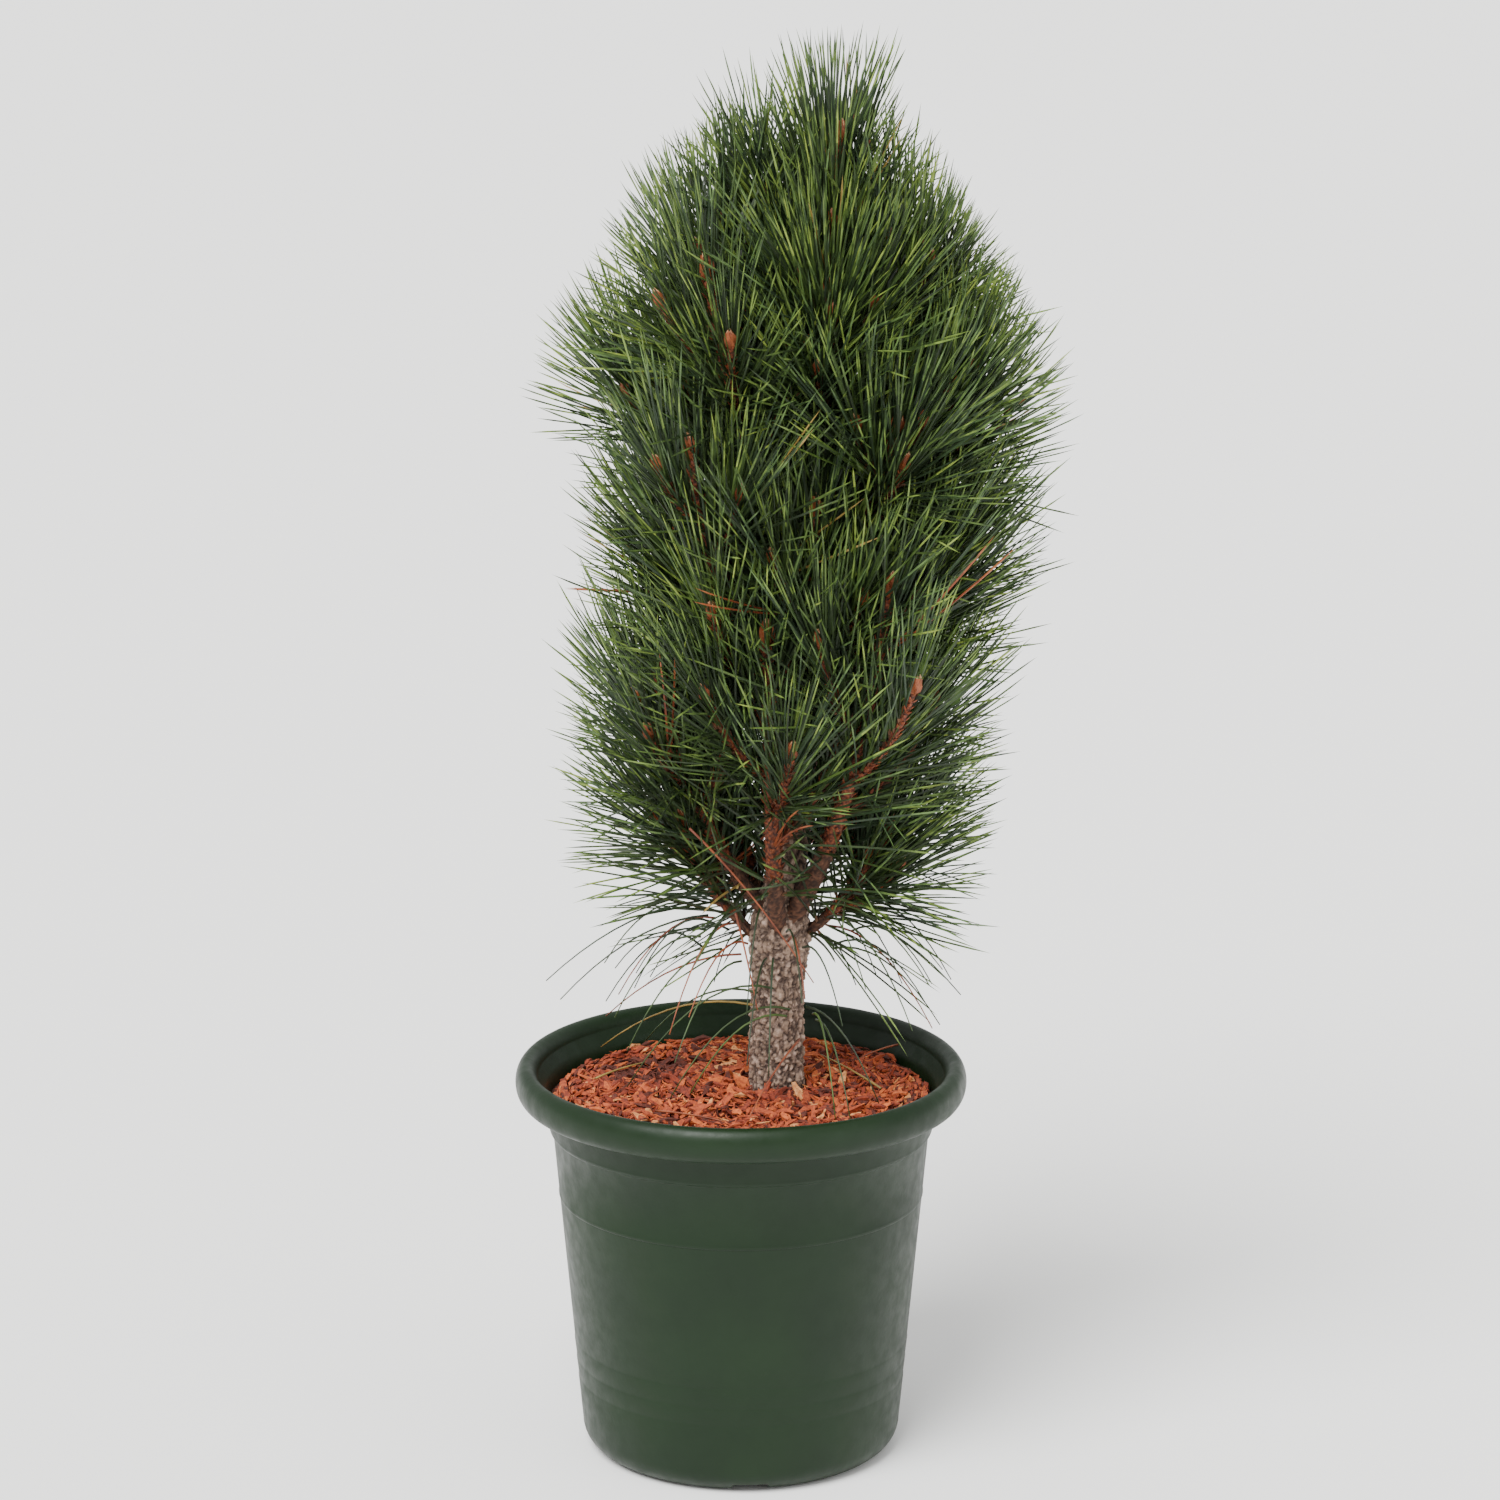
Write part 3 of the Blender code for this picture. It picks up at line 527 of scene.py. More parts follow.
def rough_tree():
    """Lifts each corner along its normal by noise."""
    tree, node, given, out = new_tree("rough bed", {"Depth": "Float", "Size": "Float"})
    place = node("GeometryNodeInputPosition")
    scale = node("ShaderNodeMath", {0: 1.0, 1: given["Size"]}, operation="DIVIDE")
    noise = node("ShaderNodeTexNoise", {"Vector": place, "Scale": scale, "Detail": 3.0})
    centred = node("ShaderNodeMath", {0: noise, 1: 0.5}, operation="SUBTRACT")
    amount = node("ShaderNodeMath", {0: centred, 1: given["Depth"]}, operation="MULTIPLY")
    push = {0: node("GeometryNodeInputNormal"), "Scale": amount}
    push = node("ShaderNodeVectorMath", push, operation="SCALE")
    feed(out, {0: node("GeometryNodeSetPosition", {"Geometry": given["Geometry"], "Offset": push})})
    return tree


bed = make_bed()
run_tree(bed, rough_tree(), Depth=BED_ROUGHNESS, Size=BED_ROUGHNESS)
# Bark dust and shreds between the splinters, matt. Their darkness is partly painted shade, and the redder
# spots are painted highlights where a shred would catch the light.
dust = grainy("bark dust with painted shade", "#4A1E12", 0.95, 1.45, 3 * MM, 6.0, DUST_AND_SHADE_STOPS, 1.5 * MM)
put_on(bed, "mulch", "mulch", material=dust)

# %% [markdown]
# ## Splinters of bark
# Each splinter is a slab a few millimetres thick with torn, narrowing ends. A dozen different ones
# are enough, because every copy is turned and sized by chance. The finishes are those of fresh pine
# bark: an orange brown outside, a redder inside, pale wood fibre, and dark pieces, which crowd the hollow
# as painted shade.

# %% Shapes of splinters
# The ranges of the length, width and thickness of splinters in mm.
CHIP_SIZES = ((8, 19), (1.8, 4.8), (1.1, 2.4))
FIBRE_SIZES = ((6, 13), (0.8, 1.7), (0.6, 1.0))
END_SHARE = 0.06
BLUNTNESS = 0.45
# How much chance changes a splinter, as shares of its own sizes.
WIDTHS = (0.65, 1.15)
THICKNESSES = (0.6, 1.2)
MOST_BEND = 0.12
MOST_OFFSET = 0.15
MOST_TEAR = 0.3


def splinter(name, length, width, thick, steps):
    """One slab of torn bark along X, its ends narrowed and its sides uneven."""
    bm = bmesh.new()
    rings = []
    bend = chance.uniform(-MOST_BEND, MOST_BEND) * length
    for i in range(steps + 1):
        share = i / steps
        body = math.sin(math.pi * min(max(share, END_SHARE), 1 - END_SHARE)) ** BLUNTNESS
        across = 0.5 * width * body * chance.uniform(*WIDTHS)
        up = 0.5 * thick * body * chance.uniform(*THICKNESSES)
        side = chance.uniform(-MOST_OFFSET, MOST_OFFSET) * width
        rise = bend * 4 * share * (1 - share) + chance.uniform(-MOST_OFFSET, MOST_OFFSET) * thick
        x = (share - 0.5) * length
        rings.append([])
        for y, z in ((-across, -up), (across, -up), (across, up), (-across, up)):
            torn = chance.uniform(-1, 1) * thick * MOST_TEAR
            rings[-1].append(bm.verts.new((x + torn, side + y, rise + z)))
    skin(bm, rings)
    return object_from(bm, name, smooth=False)


def splinters(name, count, spans, steps):
    """Splinters with their sizes drawn from these ranges."""
    shapes = []
    for i in range(count):
        sizes = [chance.uniform(*span) * MM for span in spans]
        shapes.append(splinter(f"{name}_{i:02d}", *sizes, steps))
    return shapes


def variants(name, shapes):
    """Puts the shapes in a collection of their own, which a tree can pick from."""
    group = bpy.data.collections.new(name)
    bpy.context.scene.collection.children.link(group)
    for obj in shapes:
        bpy.context.scene.collection.objects.unlink(obj)
        group.objects.link(obj)
    return group


def drop_variants(group):
    for obj in list(group.objects):
        bpy.data.objects.remove(obj, do_unlink=True)
    bpy.data.collections.remove(group)


chance = random.Random(SEED)
chips = variants("chips", splinters("chip", 12, CHIP_SIZES, 4))
fibres = variants("fibres", splinters("fibre", 8, FIBRE_SIZES, 3))

# %% Finishes of splinters
BARK_TONES = (
    ("bark splinter, orange brown", "#A84C26", "#7E3319"),
    ("bark splinter, red brown", "#8A3519", "#5C2112"),
    ("bark splinter, bright orange", "#C4642F", "#9C4520"),
    ("bark splinter, pale fibre", "#D0935F", "#A8632F"),
    ("bark splinter, dark", "#5E2616", "#3C170E"),
)
TONE_SHARES = (0.36, 0.29, 0.15, 0.06, 0.14)
DARK_SPLINTER = 4
# Torn bark is matt and stringy. Its strings are drawn wider than they are, so that they show.
splinter_finishes = []
for i, (name, light, dark) in enumerate(BARK_TONES):
    finish = grainy(name, light, 0.85, 1.5, 2.5 * MM, 5.0, ((0.36, dark), (0.62, light)), 0.5 * MM)
    splinter_finishes.append((0, i, finish))
print("splinter finishes:", len(splinter_finishes))

# %% [markdown]
# ## Scattering them
# The tree below takes a cloud of points, and puts a shape on each. Where a point lies, how the shape
# is turned, how large it is and which finish it takes are all worked out in Python first and carried
# on the points as attributes. That keeps the tree the same for bark, bud scales and needles: pick a
# shape, turn it by two axes, size it, make it real, bend it, and hand out the finishes by number.

# %% One tree that places every small thing
def placing_tree(name, finishes):
    """Puts a shape on each point. Finishes are (part of the shape, tone of the point, material)."""
    tree, node, given, out = new_tree(name, {"Shapes": "Collection"})
    facts = {}
    for label, kind in FACTS.items():
        facts[label] = node("GeometryNodeInputNamedAttribute", {"Name": label}, data_type=kind)
    shapes = {"Collection": given["Shapes"], "Separate Children": True, "Reset Children": True}
    axes = {"Primary Axis": facts["aim"], "Secondary Axis": facts["side"]}
    placing = {
        "Points": given["Geometry"],
        "Instance": node("GeometryNodeCollectionInfo", shapes),
        "Pick Instance": True,
        "Instance Index": facts["shape"],
        "Rotation": node("FunctionNodeAxesToRotation", axes, primary_axis="Z", secondary_axis="X"),
        "Scale": facts["size"],
    }
    placed = node("GeometryNodeInstanceOnPoints", placing)
    geometry = node("GeometryNodeRealizeInstances", {"Geometry": placed})
    squared = node("ShaderNodeMath", {0: facts["along"], 1: 2.0}, operation="POWER")
    push = node("ShaderNodeVectorMath", {0: facts["bend"], "Scale": squared}, operation="SCALE")
    geometry = node("GeometryNodeSetPosition", {"Geometry": geometry, "Offset": push})
    for part, tone, material in finishes:
        matches = {}
        for i, (label, number) in enumerate((("part", part), ("tone", tone))):
            same = {"A": facts[label], "B": float(number), "Epsilon": 0.1}
            matches[i] = node("FunctionNodeCompare", same, operation="EQUAL")
        chosen = node("FunctionNodeBooleanMath", matches)
        painting = {"Geometry": geometry, "Selection": chosen, "Material": material}
        geometry = node("GeometryNodeSetMaterial", painting)
    feed(out, {0: geometry})
    return tree


def point_cloud(name, points, **facts):
    """A mesh of loose points that carry what the placing tree reads."""
    mesh = bpy.data.meshes.new(name)
    mesh.from_pydata(points.tolist(), [], [])
    for label, values in facts.items():
        layer = mesh.attributes.new(label, FACTS[label], "POINT")
        field = "vector" if FACTS[label] == "FLOAT_VECTOR" else "value"
        number = np.int32 if FACTS[label] == "INT" else np.float32
        layer.data.foreach_set(field, values.astype(number).ravel())
    return add_object(name, mesh)


# %% [markdown]
# ## Laying the splinters
# Splinters lie mostly flat, lean on each other, and cross at any angle. So the aim of each, the way
# its thickness points, is the upright tilted by chance, and its length points anywhere round it. By
# the wall they lie along it. Big chips come first and fibres on top, and none lies inside the trunk.

# %% Lay chips and fibres on the bed
TRUNK_FOOT_RADIUS = 19.0 * MM
CHIP_COUNT = 3300
FIBRE_COUNT = 2900
HEAP_REACH = inner_radius(MULCH_AT_WALL) - 4.5 * MM
WALL_BAND = 12.0 * MM
# Dark splinters crowd the hollow up to this reach and in this share: painted shade in its dip.
HOLLOW_SHADE_REACH = HOLLOW_RADIUS * 0.8
HOLLOW_SHADE_SHARE = 0.75
FLATTER = (0.3, 0.3, 1.0)
generator = np.random.default_rng(SEED)


def unit(vectors):
    return vectors / np.linalg.norm(vectors, axis=-1, keepdims=True)


def lay_splinters(name, group, count, lift, lean, sizes):
    """Lays splinters on the heap, lifted by so many mm, leaning by chance and sized by chance."""
    radius = HEAP_REACH * np.sqrt(generator.uniform(0.0, 1.0, count))
    angle = generator.uniform(0.0, 2 * math.pi, count)
    spots = np.stack([radius * np.cos(angle), radius * np.sin(angle)], 1)
    clear = np.linalg.norm(spots - np.array(TRUNK_FOOT), axis=1) > TRUNK_FOOT_RADIUS
    spots, count = spots[clear], int(clear.sum())
    heights = np.array([mulch_height(x, y) for x, y in spots]) + generator.uniform(*lift, count) * MM
    points = np.concatenate([spots, heights[:, None]], 1)
    aim = unit(np.stack([*generator.normal(0.0, lean, (2, count)), np.ones(count)], 1))
    side = generator.normal(0.0, 1.0, (count, 3))
    by_wall = np.linalg.norm(spots, axis=1) > HEAP_REACH - WALL_BAND
    side[by_wall] = np.stack([-spots[:, 1], spots[:, 0], np.zeros(count)], 1)[by_wall]
    aim[by_wall] = unit(aim[by_wall] * FLATTER)
    tone = generator.choice(len(BARK_TONES), count, p=TONE_SHARES)
    # Dark splinters gather in the hollow as painted shade.
    in_shaded_hollow = np.linalg.norm(spots - np.array(HOLLOW), axis=1) < HOLLOW_SHADE_REACH
    tone[in_shaded_hollow & (generator.uniform(size=count) < HOLLOW_SHADE_SHARE)] = DARK_SPLINTER
    size = generator.uniform(*sizes, count)[:, None] * np.ones(3)
    shape = generator.integers(0, len(group.objects), count)
    cloud = point_cloud(name, points, aim=aim, side=side, size=size, tone=tone, shape=shape)
    run_tree(cloud, placing_tree(name, splinter_finishes), Shapes=group)
    drop_variants(group)
    put_on(cloud, "mulch")


lay_splinters("bark_chips", chips, CHIP_COUNT, (-2.5, 3.0), 0.46, (0.6, 1.3))
lay_splinters("bark_fibres", fibres, FIBRE_COUNT, (-0.5, 3.0), 0.38, (0.7, 1.3))

# %% [markdown]
# ## The pine's limbs
# A pine grows by a simple rule: each spring the trunk sends out a whorl of shoots, and each shoot
# leaves the trunk, bends upwards and ends in a bud. So a shoot is told by five numbers: the height
# where it starts, the way it points, how far it spreads, how high its bud stands, and how much of its
# length is bare. These are the numbers that the solids were made from.

# %% Trunk and shoots
TRUNK_LEAN = 0.033
LEAN_START = 0.26
LEAN_END = 0.70
# (height, radius) up the trunk. It swells where a whorl of boughs leaves it.
TRUNK_TAPER = (
    (COMPOST_TOP, 0.0200),
    (0.226, 0.0178),
    (0.245, 0.0164),
    (0.300, 0.0158),
    (0.322, 0.0182),
    (0.340, 0.0176),
    (0.362, 0.0122),
    (0.425, 0.0108),
    (0.445, 0.0122),
    (0.470, 0.0098),
    (0.545, 0.0086),
    (0.565, 0.0098),
    (0.590, 0.0078),
    (0.635, 0.0082),
    (0.660, 0.0062),
    (0.700, 0.0056),
)
Shoot = namedtuple("Shoot", "name foot azimuth spread bud bare")
SHOOTS = (
    Shoot("base_left", 0.318, 172, 0.062, 0.400, 0.38),
    Shoot("base_right", 0.322, -8, 0.064, 0.394, 0.38),
    Shoot("low_front", 0.322, -96, 0.080, 0.532, 0.34),
    Shoot("low_front_right", 0.332, -51, 0.100, 0.560, 0.36),
    Shoot("low_left", 0.336, -160, 0.076, 0.490, 0.40),
    Shoot("low_right", 0.338, 22, 0.070, 0.494, 0.40),
    Shoot("low_back_left", 0.330, 128, 0.082, 0.500, 0.24),
    Shoot("low_back_right", 0.322, 72, 0.080, 0.510, 0.24),
    Shoot("mid_front", 0.446, -82, 0.066, 0.604, 0.28),
    Shoot("mid_front_left", 0.438, -132, 0.094, 0.641, 0.30),
    Shoot("mid_right", 0.448, -8, 0.084, 0.584, 0.26),
    Shoot("mid_left", 0.454, 170, 0.076, 0.585, 0.26),
    Shoot("mid_back_left", 0.436, 118, 0.086, 0.606, 0.26),
    Shoot("mid_back_right", 0.440, 52, 0.086, 0.616, 0.26),
    Shoot("high_front_left", 0.546, -139, 0.086, 0.746, 0.30),
    Shoot("high_left", 0.570, 174, 0.102, 0.668, 0.30),
    Shoot("high_front_right", 0.556, -56, 0.078, 0.654, 0.28),
    Shoot("high_right", 0.568, -5, 0.082, 0.674, 0.28),
    Shoot("high_back_right", 0.552, 53, 0.082, 0.696, 0.26),
    Shoot("high_back_left", 0.560, 114, 0.088, 0.684, 0.26),
    Shoot("top_front", 0.632, -92, 0.050, 0.732, 0.26),
    Shoot("top_left", 0.632, 168, 0.066, 0.762, 0.26),
    Shoot("top_right", 0.634, 0, 0.050, 0.750, 0.26),
    Shoot("top_back", 0.642, 88, 0.056, 0.764, 0.26),
)
LEADER_BUD = np.array((0.052, 0.0, 0.808))

# %% Centre lines of trunk and shoots
BEND_OUT = 0.66
BEND_UP = 0.30
PATH_STEPS = 24


def trunk_centre(height):
    """The trunk leans to +X as it rises, and stands straight again at its tip."""
    rise = min(max((height - LEAN_START) / (LEAN_END - LEAN_START), 0.0), 1.0)
    sway = TRUNK_LEAN * rise * rise * (3.0 - 2.0 * rise)
    return np.array((TRUNK_FOOT.x + sway, TRUNK_FOOT.y, height))


def curve_through(start, bend, end, steps):
    """Points on a curve that leaves start towards bend and arrives at end."""
    t = np.linspace(0.0, 1.0, steps + 1)[:, None]
    return start * (1 - t) ** 2 + bend * 2 * t * (1 - t) + end * t**2


def shoot_path(shoot):
    """A shoot's centre line from the trunk to its bud: out from the trunk first, then up."""
    start = trunk_centre(shoot.foot)
    angle = math.radians(shoot.azimuth)
    way = np.array((math.cos(angle), math.sin(angle), 0.0))
    rise = np.array((0.0, 0.0, shoot.bud - shoot.foot))
    bend = start + way * shoot.spread * BEND_OUT + rise * BEND_UP
    return curve_through(start, bend, start + way * shoot.spread + rise, PATH_STEPS)


def length_of(path):
    return np.cumsum(np.linalg.norm(np.diff(path, axis=0), axis=1))[-1]


def along_path(path, shares):
    """(points, directions) at shares of a path's steps."""
    place = np.clip(np.asarray(shares, float), 0.0, 1.0) * (len(path) - 1)
    index = np.minimum(place.astype(int), len(path) - 2)
    steps = np.diff(path, axis=0)
    return path[index] + steps[index] * (place - index)[..., None], unit(steps[index])


paths = {shoot.name: shoot_path(shoot) for shoot in SHOOTS}
trunk_tip = trunk_centre(TRUNK_TAPER[-1][0])
leader_path = trunk_tip + np.linspace(0.0, 1.0, PATH_STEPS + 1)[:, None] * (LEADER_BUD - trunk_tip)
print("shoots:", len(paths) + 1, "longest:", round(max(map(length_of, paths.values())), 3), "m")

# %% [markdown]
# ## Bark with real relief
# Old bark on a black pine breaks into thin flaking plates with dark cracks between them. Paint alone
# looks flat at the edge of the trunk, so the plates are real: a fine tube is pushed out and in by a
# Voronoi pattern, taller than it is wide, whose cell borders are the cracks. The tree also stores
# that relief on the mesh, and the finish reads it back: it paints the cracks and low plates dark, partly
# the bark's own dark fissures and partly painted shade, and puts pale painted highlights on raised plates.

# %% Tube along a path
def frames_along(centres):
    """Two directions across the path at each of its points, which turn as little as they can."""
    ways = unit(np.gradient(centres, axis=0))
    across = np.array(Vector(ways[0]).orthogonal().normalized())
    for way in ways:
        across = unit(across - way * across.dot(way))
        yield across, np.cross(way, across)


def tube(bm, centres, radii, count):
    """Adds a closed tube of rings to the bmesh."""
    turns = [(math.cos(2 * math.pi * k / count), math.sin(2 * math.pi * k / count)) for k in range(count)]
    rings = []
    for centre, radius, (across, beside) in zip(centres, radii, frames_along(centres)):
        rings.append([bm.verts.new(centre + radius * (across * x + beside * y)) for x, y in turns])
    skin(bm, rings)


# %% The tree that flakes bark
WARP_SIZE = 5 * MM
WARP_REACH = 9 * MM
CRACK_WIDTH = 0.3
GRIT_SIZE = 1.6 * MM
MEAN_RELIEF = 0.75


def flaking_tree():
    """Pushes plates of bark out and leaves cracks between them, by cells of a warped pattern."""
    inputs = dict.fromkeys(("Plate Width", "Plate Height", "Crack Depth", "Grit"), "Float")
    tree, node, given, out = new_tree("flaking bark", inputs)
    place = node("GeometryNodeInputPosition")
    warp = {"Vector": place, "Scale": 1 / WARP_SIZE, "Detail": 5.0}
    warp = add_node(tree, "ShaderNodeTexNoise", warp).outputs["Color"]
    wander = node("ShaderNodeVectorMath", {0: warp, "Scale": WARP_REACH}, operation="SCALE")
    warped = node("ShaderNodeVectorMath", {0: place, 1: wander}, operation="ADD")
    cell = {"X": given["Plate Width"], "Y": given["Plate Width"], "Z": given["Plate Height"]}
    cell = node("ShaderNodeCombineXYZ", cell)
    grid = {"Vector": node("ShaderNodeVectorMath", {0: warped, 1: cell}, operation="DIVIDE"), "Scale": 1.0}
    cracks = node("ShaderNodeTexVoronoi", grid, feature="DISTANCE_TO_EDGE")
    plates = node("ShaderNodeMapRange", {"Value": cracks, "From Max": CRACK_WIDTH})
    chances = add_node(tree, "ShaderNodeTexVoronoi", grid, feature="F1").outputs["Color"]
    chances = node("FunctionNodeSeparateColor", {"Color": chances})
    grit = node("ShaderNodeTexNoise", {"Vector": place, "Scale": 1 / GRIT_SIZE, "Detail": 4.0})
    high = node("ShaderNodeMath", {0: chances, 1: 0.5, 2: 0.5}, operation="MULTIPLY_ADD")
    plates = node("ShaderNodeMath", {0: plates, 1: high}, operation="MULTIPLY")
    relief = node("ShaderNodeMath", {0: grit, 1: given["Grit"], 2: plates}, operation="MULTIPLY_ADD")
    centred = node("ShaderNodeMath", {0: relief, 1: MEAN_RELIEF}, operation="SUBTRACT")
    depth = node("ShaderNodeMath", {0: centred, 1: given["Crack Depth"]}, operation="MULTIPLY")
    push = {0: node("GeometryNodeInputNormal"), "Scale": depth}
    push = node("ShaderNodeVectorMath", push, operation="SCALE")
    kept = {"Geometry": given["Geometry"], "Name": "relief", "Value": relief}
    kept = node("GeometryNodeStoreNamedAttribute", kept, data_type="FLOAT", domain="POINT")
    feed(out, {0: node("GeometryNodeSetPosition", {"Geometry": kept, "Offset": push})})
    return tree


flaking = flaking_tree()

# %% Finishes of bark
# Colours from the deepest cracks up to the plates' tops: the dark end is partly painted shade.
OLD_BARK_AND_CRACK_SHADE = ((0.2, "#17100D"), (0.5, "#3B2C25"), (0.8, "#6E594B"), (1.0, "#8D7563"))
YOUNG_BARK_AND_CRACK_SHADE = ((0.2, "#160D09"), (0.55, "#3E271B"), (0.9, "#5C3C2A"))


def bark_finish(name, stops, plate_highlight, plate_highlight_share):
    """Bark painted darker in its cracks and lower plates, partly its own dark fissures and partly painted
    shade, with pale painted highlights in patches on its raised plates.
    """
    material, node, shader, place = new_material(name, stops[-1][1], 0.9, 1.5)
    relief = add_node(material.node_tree, "ShaderNodeAttribute", attribute_name="relief").outputs["Fac"]
    highlight_patches, grain = (
        node("ShaderNodeTexNoise", {"Vector": place, "Scale": 1 / size, "Detail": detail})
        for size, detail in ((3.5 * MM, 6.0), (1.2 * MM, 4.0))
    )
    # Pale patches on the raised plates only: painted highlights.
    share = {"Value": highlight_patches, "From Min": 0.5, "From Max": 0.66, "To Max": plate_highlight_share}
    raised = {0: node("ShaderNodeMapRange", share), 1: relief}
    mixing = {
        "Factor": node("ShaderNodeMath", raised, operation="MULTIPLY"),
        "A": node("ShaderNodeValToRGB", {"Fac": relief}, stops=stops),
        "B": linear(plate_highlight),
    }
    coat(node, shader, node("ShaderNodeMix", mixing, data_type="RGBA"), grain, 0.5 * MM)
    return material


old_bark = bark_finish("flaking pine bark, grey brown", OLD_BARK_AND_CRACK_SHADE, "#BFA493", 0.8)
young_bark = bark_finish("young pine bark, red brown", YOUNG_BARK_AND_CRACK_SHADE, "#7E5540", 0.6)

# %% Grow the trunk
TRUNK_SIDES = 132
FINE_STEP = 0.9 * MM
COARSE_STEP = 2.6 * MM
FINE_UP_TO = 0.385
SOFTENING = 9

heights = list(np.arange(OVER_COMPOST, FINE_UP_TO, FINE_STEP))
heights += list(np.arange(heights[-1] + COARSE_STEP, TRUNK_TAPER[-1][0], COARSE_STEP))
radii = np.pad(np.interp(heights, *zip(*TRUNK_TAPER)), SOFTENING // 2, "edge")
radii = np.convolve(radii, np.ones(SOFTENING) / SOFTENING, "valid")
bm = bmesh.new()
tube(bm, np.array([trunk_centre(h) for h in heights]), radii, TRUNK_SIDES)
trunk = object_from(bm, "trunk_bark")
run_tree(trunk, flaking, Plate_Width=4.2 * MM, Plate_Height=8 * MM, Crack_Depth=2.6 * MM, Grit=0.9)
put_on(trunk, "bark", "trunk", material=old_bark)

# %% [markdown]
# ## Boughs
# Each bough is the bare foot of a shoot. It has the same kind of bark, but younger: finer plates,
# redder and darker. All of them are made in one mesh, because they share one finish.

# %% Grow the boughs
LIMB_SLENDERNESS = 0.022
LIMB_LEAST_RADIUS = 0.0014
SHOOT_TIP_RADIUS = 0.0030
BOUGH_SIDES = 26
BOUGH_STEP = 1.3 * MM
BOUGH_OVERLAP = 0.02


def limb_radii(path, shares):
    """A limb's radii, from a foot that is thicker the longer the limb is."""
    foot = LIMB_LEAST_RADIUS + LIMB_SLENDERNESS * length_of(path)
    return foot + (SHOOT_TIP_RADIUS - foot) * np.asarray(shares)


bm = bmesh.new()
for shoot in SHOOTS:
    path = paths[shoot.name]
    steps = max(int(length_of(path) * shoot.bare / BOUGH_STEP), 6)
    shares = np.linspace(0.0, shoot.bare + BOUGH_OVERLAP, steps)
    tube(bm, along_path(path, shares)[0], limb_radii(path, shares), BOUGH_SIDES)
boughs = object_from(bm, "bough_bark")
run_tree(boughs, flaking, Plate_Width=3.2 * MM, Plate_Height=5 * MM, Crack_Depth=1.1 * MM, Grit=0.6)
put_on(boughs, "bark", *[f"bough_{shoot.name}" for shoot in SHOOTS], material=young_bark)

# %% [markdown]
# ## The crown's outline
# The crown is columnar: widest at two thirds of its height, narrow at the foot and the tip, and not
# the same to the left and to the right. A needle that would reach out of that outline, or through a
# limb, is shortened, and if that doesn't help it is left out. A few strays may reach further.

# %% Room for needles and twigs
CROWN_AXIS_X = 0.034
# (height, reach to the left, reach to the right)
CROWN_REACH = (
    (0.240, 0.090, 0.090),
    (0.300, 0.112, 0.106),
    (0.335, 0.136, 0.122),
    (0.385, 0.156, 0.128),
    (0.420, 0.158, 0.132),
    (0.450, 0.148, 0.136),
    (0.515, 0.156, 0.144),
    (0.570, 0.140, 0.156),
    (0.600, 0.140, 0.160),
    (0.643, 0.158, 0.172),
    (0.680, 0.172, 0.176),
    (0.717, 0.162, 0.160),
    (0.755, 0.130, 0.134),
    (0.810, 0.104, 0.096),
    (0.845, 0.064, 0.070),
    (0.900, 0.046, 0.056),
)
CROWN_TOP = 0.893
STRAY_SHARE = 0.05
STRAY_REACH = 1.12
LIMB_MARGIN = 1.0 * MM
SAMPLES = np.linspace(0.25, 1.0, 7)
INSIDE_RIM = HEAP_REACH - 6 * MM
LOWEST_INSIDE = MULCH_AT_TRUNK + 6 * MM
LOWEST_OUTSIDE = POT_HEIGHT + 3 * MM
FIRST_THIN_STEP = 6

trunk_line = np.array([trunk_centre(h) for h, _ in TRUNK_TAPER])
limb_lines = [(trunk_line, max(r for _, r in TRUNK_TAPER[FIRST_THIN_STEP:]))]
for shoot in SHOOTS:
    line = paths[shoot.name][: int(round(shoot.bare * PATH_STEPS)) + 1]
    limb_lines.append((line, limb_radii(paths[shoot.name], [0.5 * shoot.bare])[0]))


def gaps_to_line(points, line):
    """The distance from each point to a line of straight steps."""
    starts, steps = line[:-1], np.diff(line, axis=0)
    to_point = points[:, None, :] - starts[None]
    share = np.clip((to_point * steps).sum(2) / (steps * steps).sum(1), 0.0, 1.0)
    return np.linalg.norm(to_point - share[..., None] * steps, axis=2).min(1)


def has_room(roots, tips):
    """Whether each straight piece stays in the crown, above the heap and clear of the bare limbs."""
    fine = tips[:, 2] < CROWN_TOP
    heights, left, right = np.array(CROWN_REACH).T
    slack = np.where(generator.uniform(size=len(roots)) < STRAY_SHARE, STRAY_REACH, 1.0)
    for share in SAMPLES:
        points = roots + (tips - roots) * share
        out = points[:, :2] - (CROWN_AXIS_X, 0.0)
        radius = np.hypot(out[:, 0], out[:, 1])
        rightness = 0.5 + 0.5 * out[:, 0] / np.maximum(radius, MM)
        reach = np.interp(points[:, 2], heights, left) * (1.0 - rightness)
        reach += np.interp(points[:, 2], heights, right) * rightness
        fine &= radius < reach * slack
        inside = np.hypot(points[:, 0], points[:, 1]) < INSIDE_RIM
        fine &= points[:, 2] > np.where(inside, LOWEST_INSIDE, LOWEST_OUTSIDE)
        for line, radius in limb_lines:
            fine &= gaps_to_line(points, line) > radius + LIMB_MARGIN
    return fine


# %% [markdown]
# ## Finer twigs
# Every shoot carries side twigs that leave it at about forty degrees and turn upwards. The solids have
# two of them on each shoot. Here the same rule goes on to five, each with a bud of its own, which
# fills the crown with many small brushes of needles instead of a few large ones.

# %% Grow the twigs
Stem = namedtuple("Stem", "name path bare is_main")
TWIG_PLACES = (0.16, 0.33, 0.50, 0.66, 0.80)
TWIG_SHARES = (0.46, 0.42, 0.38, 0.30, 0.24)
TWIG_TILT = math.radians(44)
TWIG_RADIUS = 2.0 * MM
TWIG_FOOT_RADIUS = TWIG_RADIUS * 1.1
TWIG_TRIES = 14
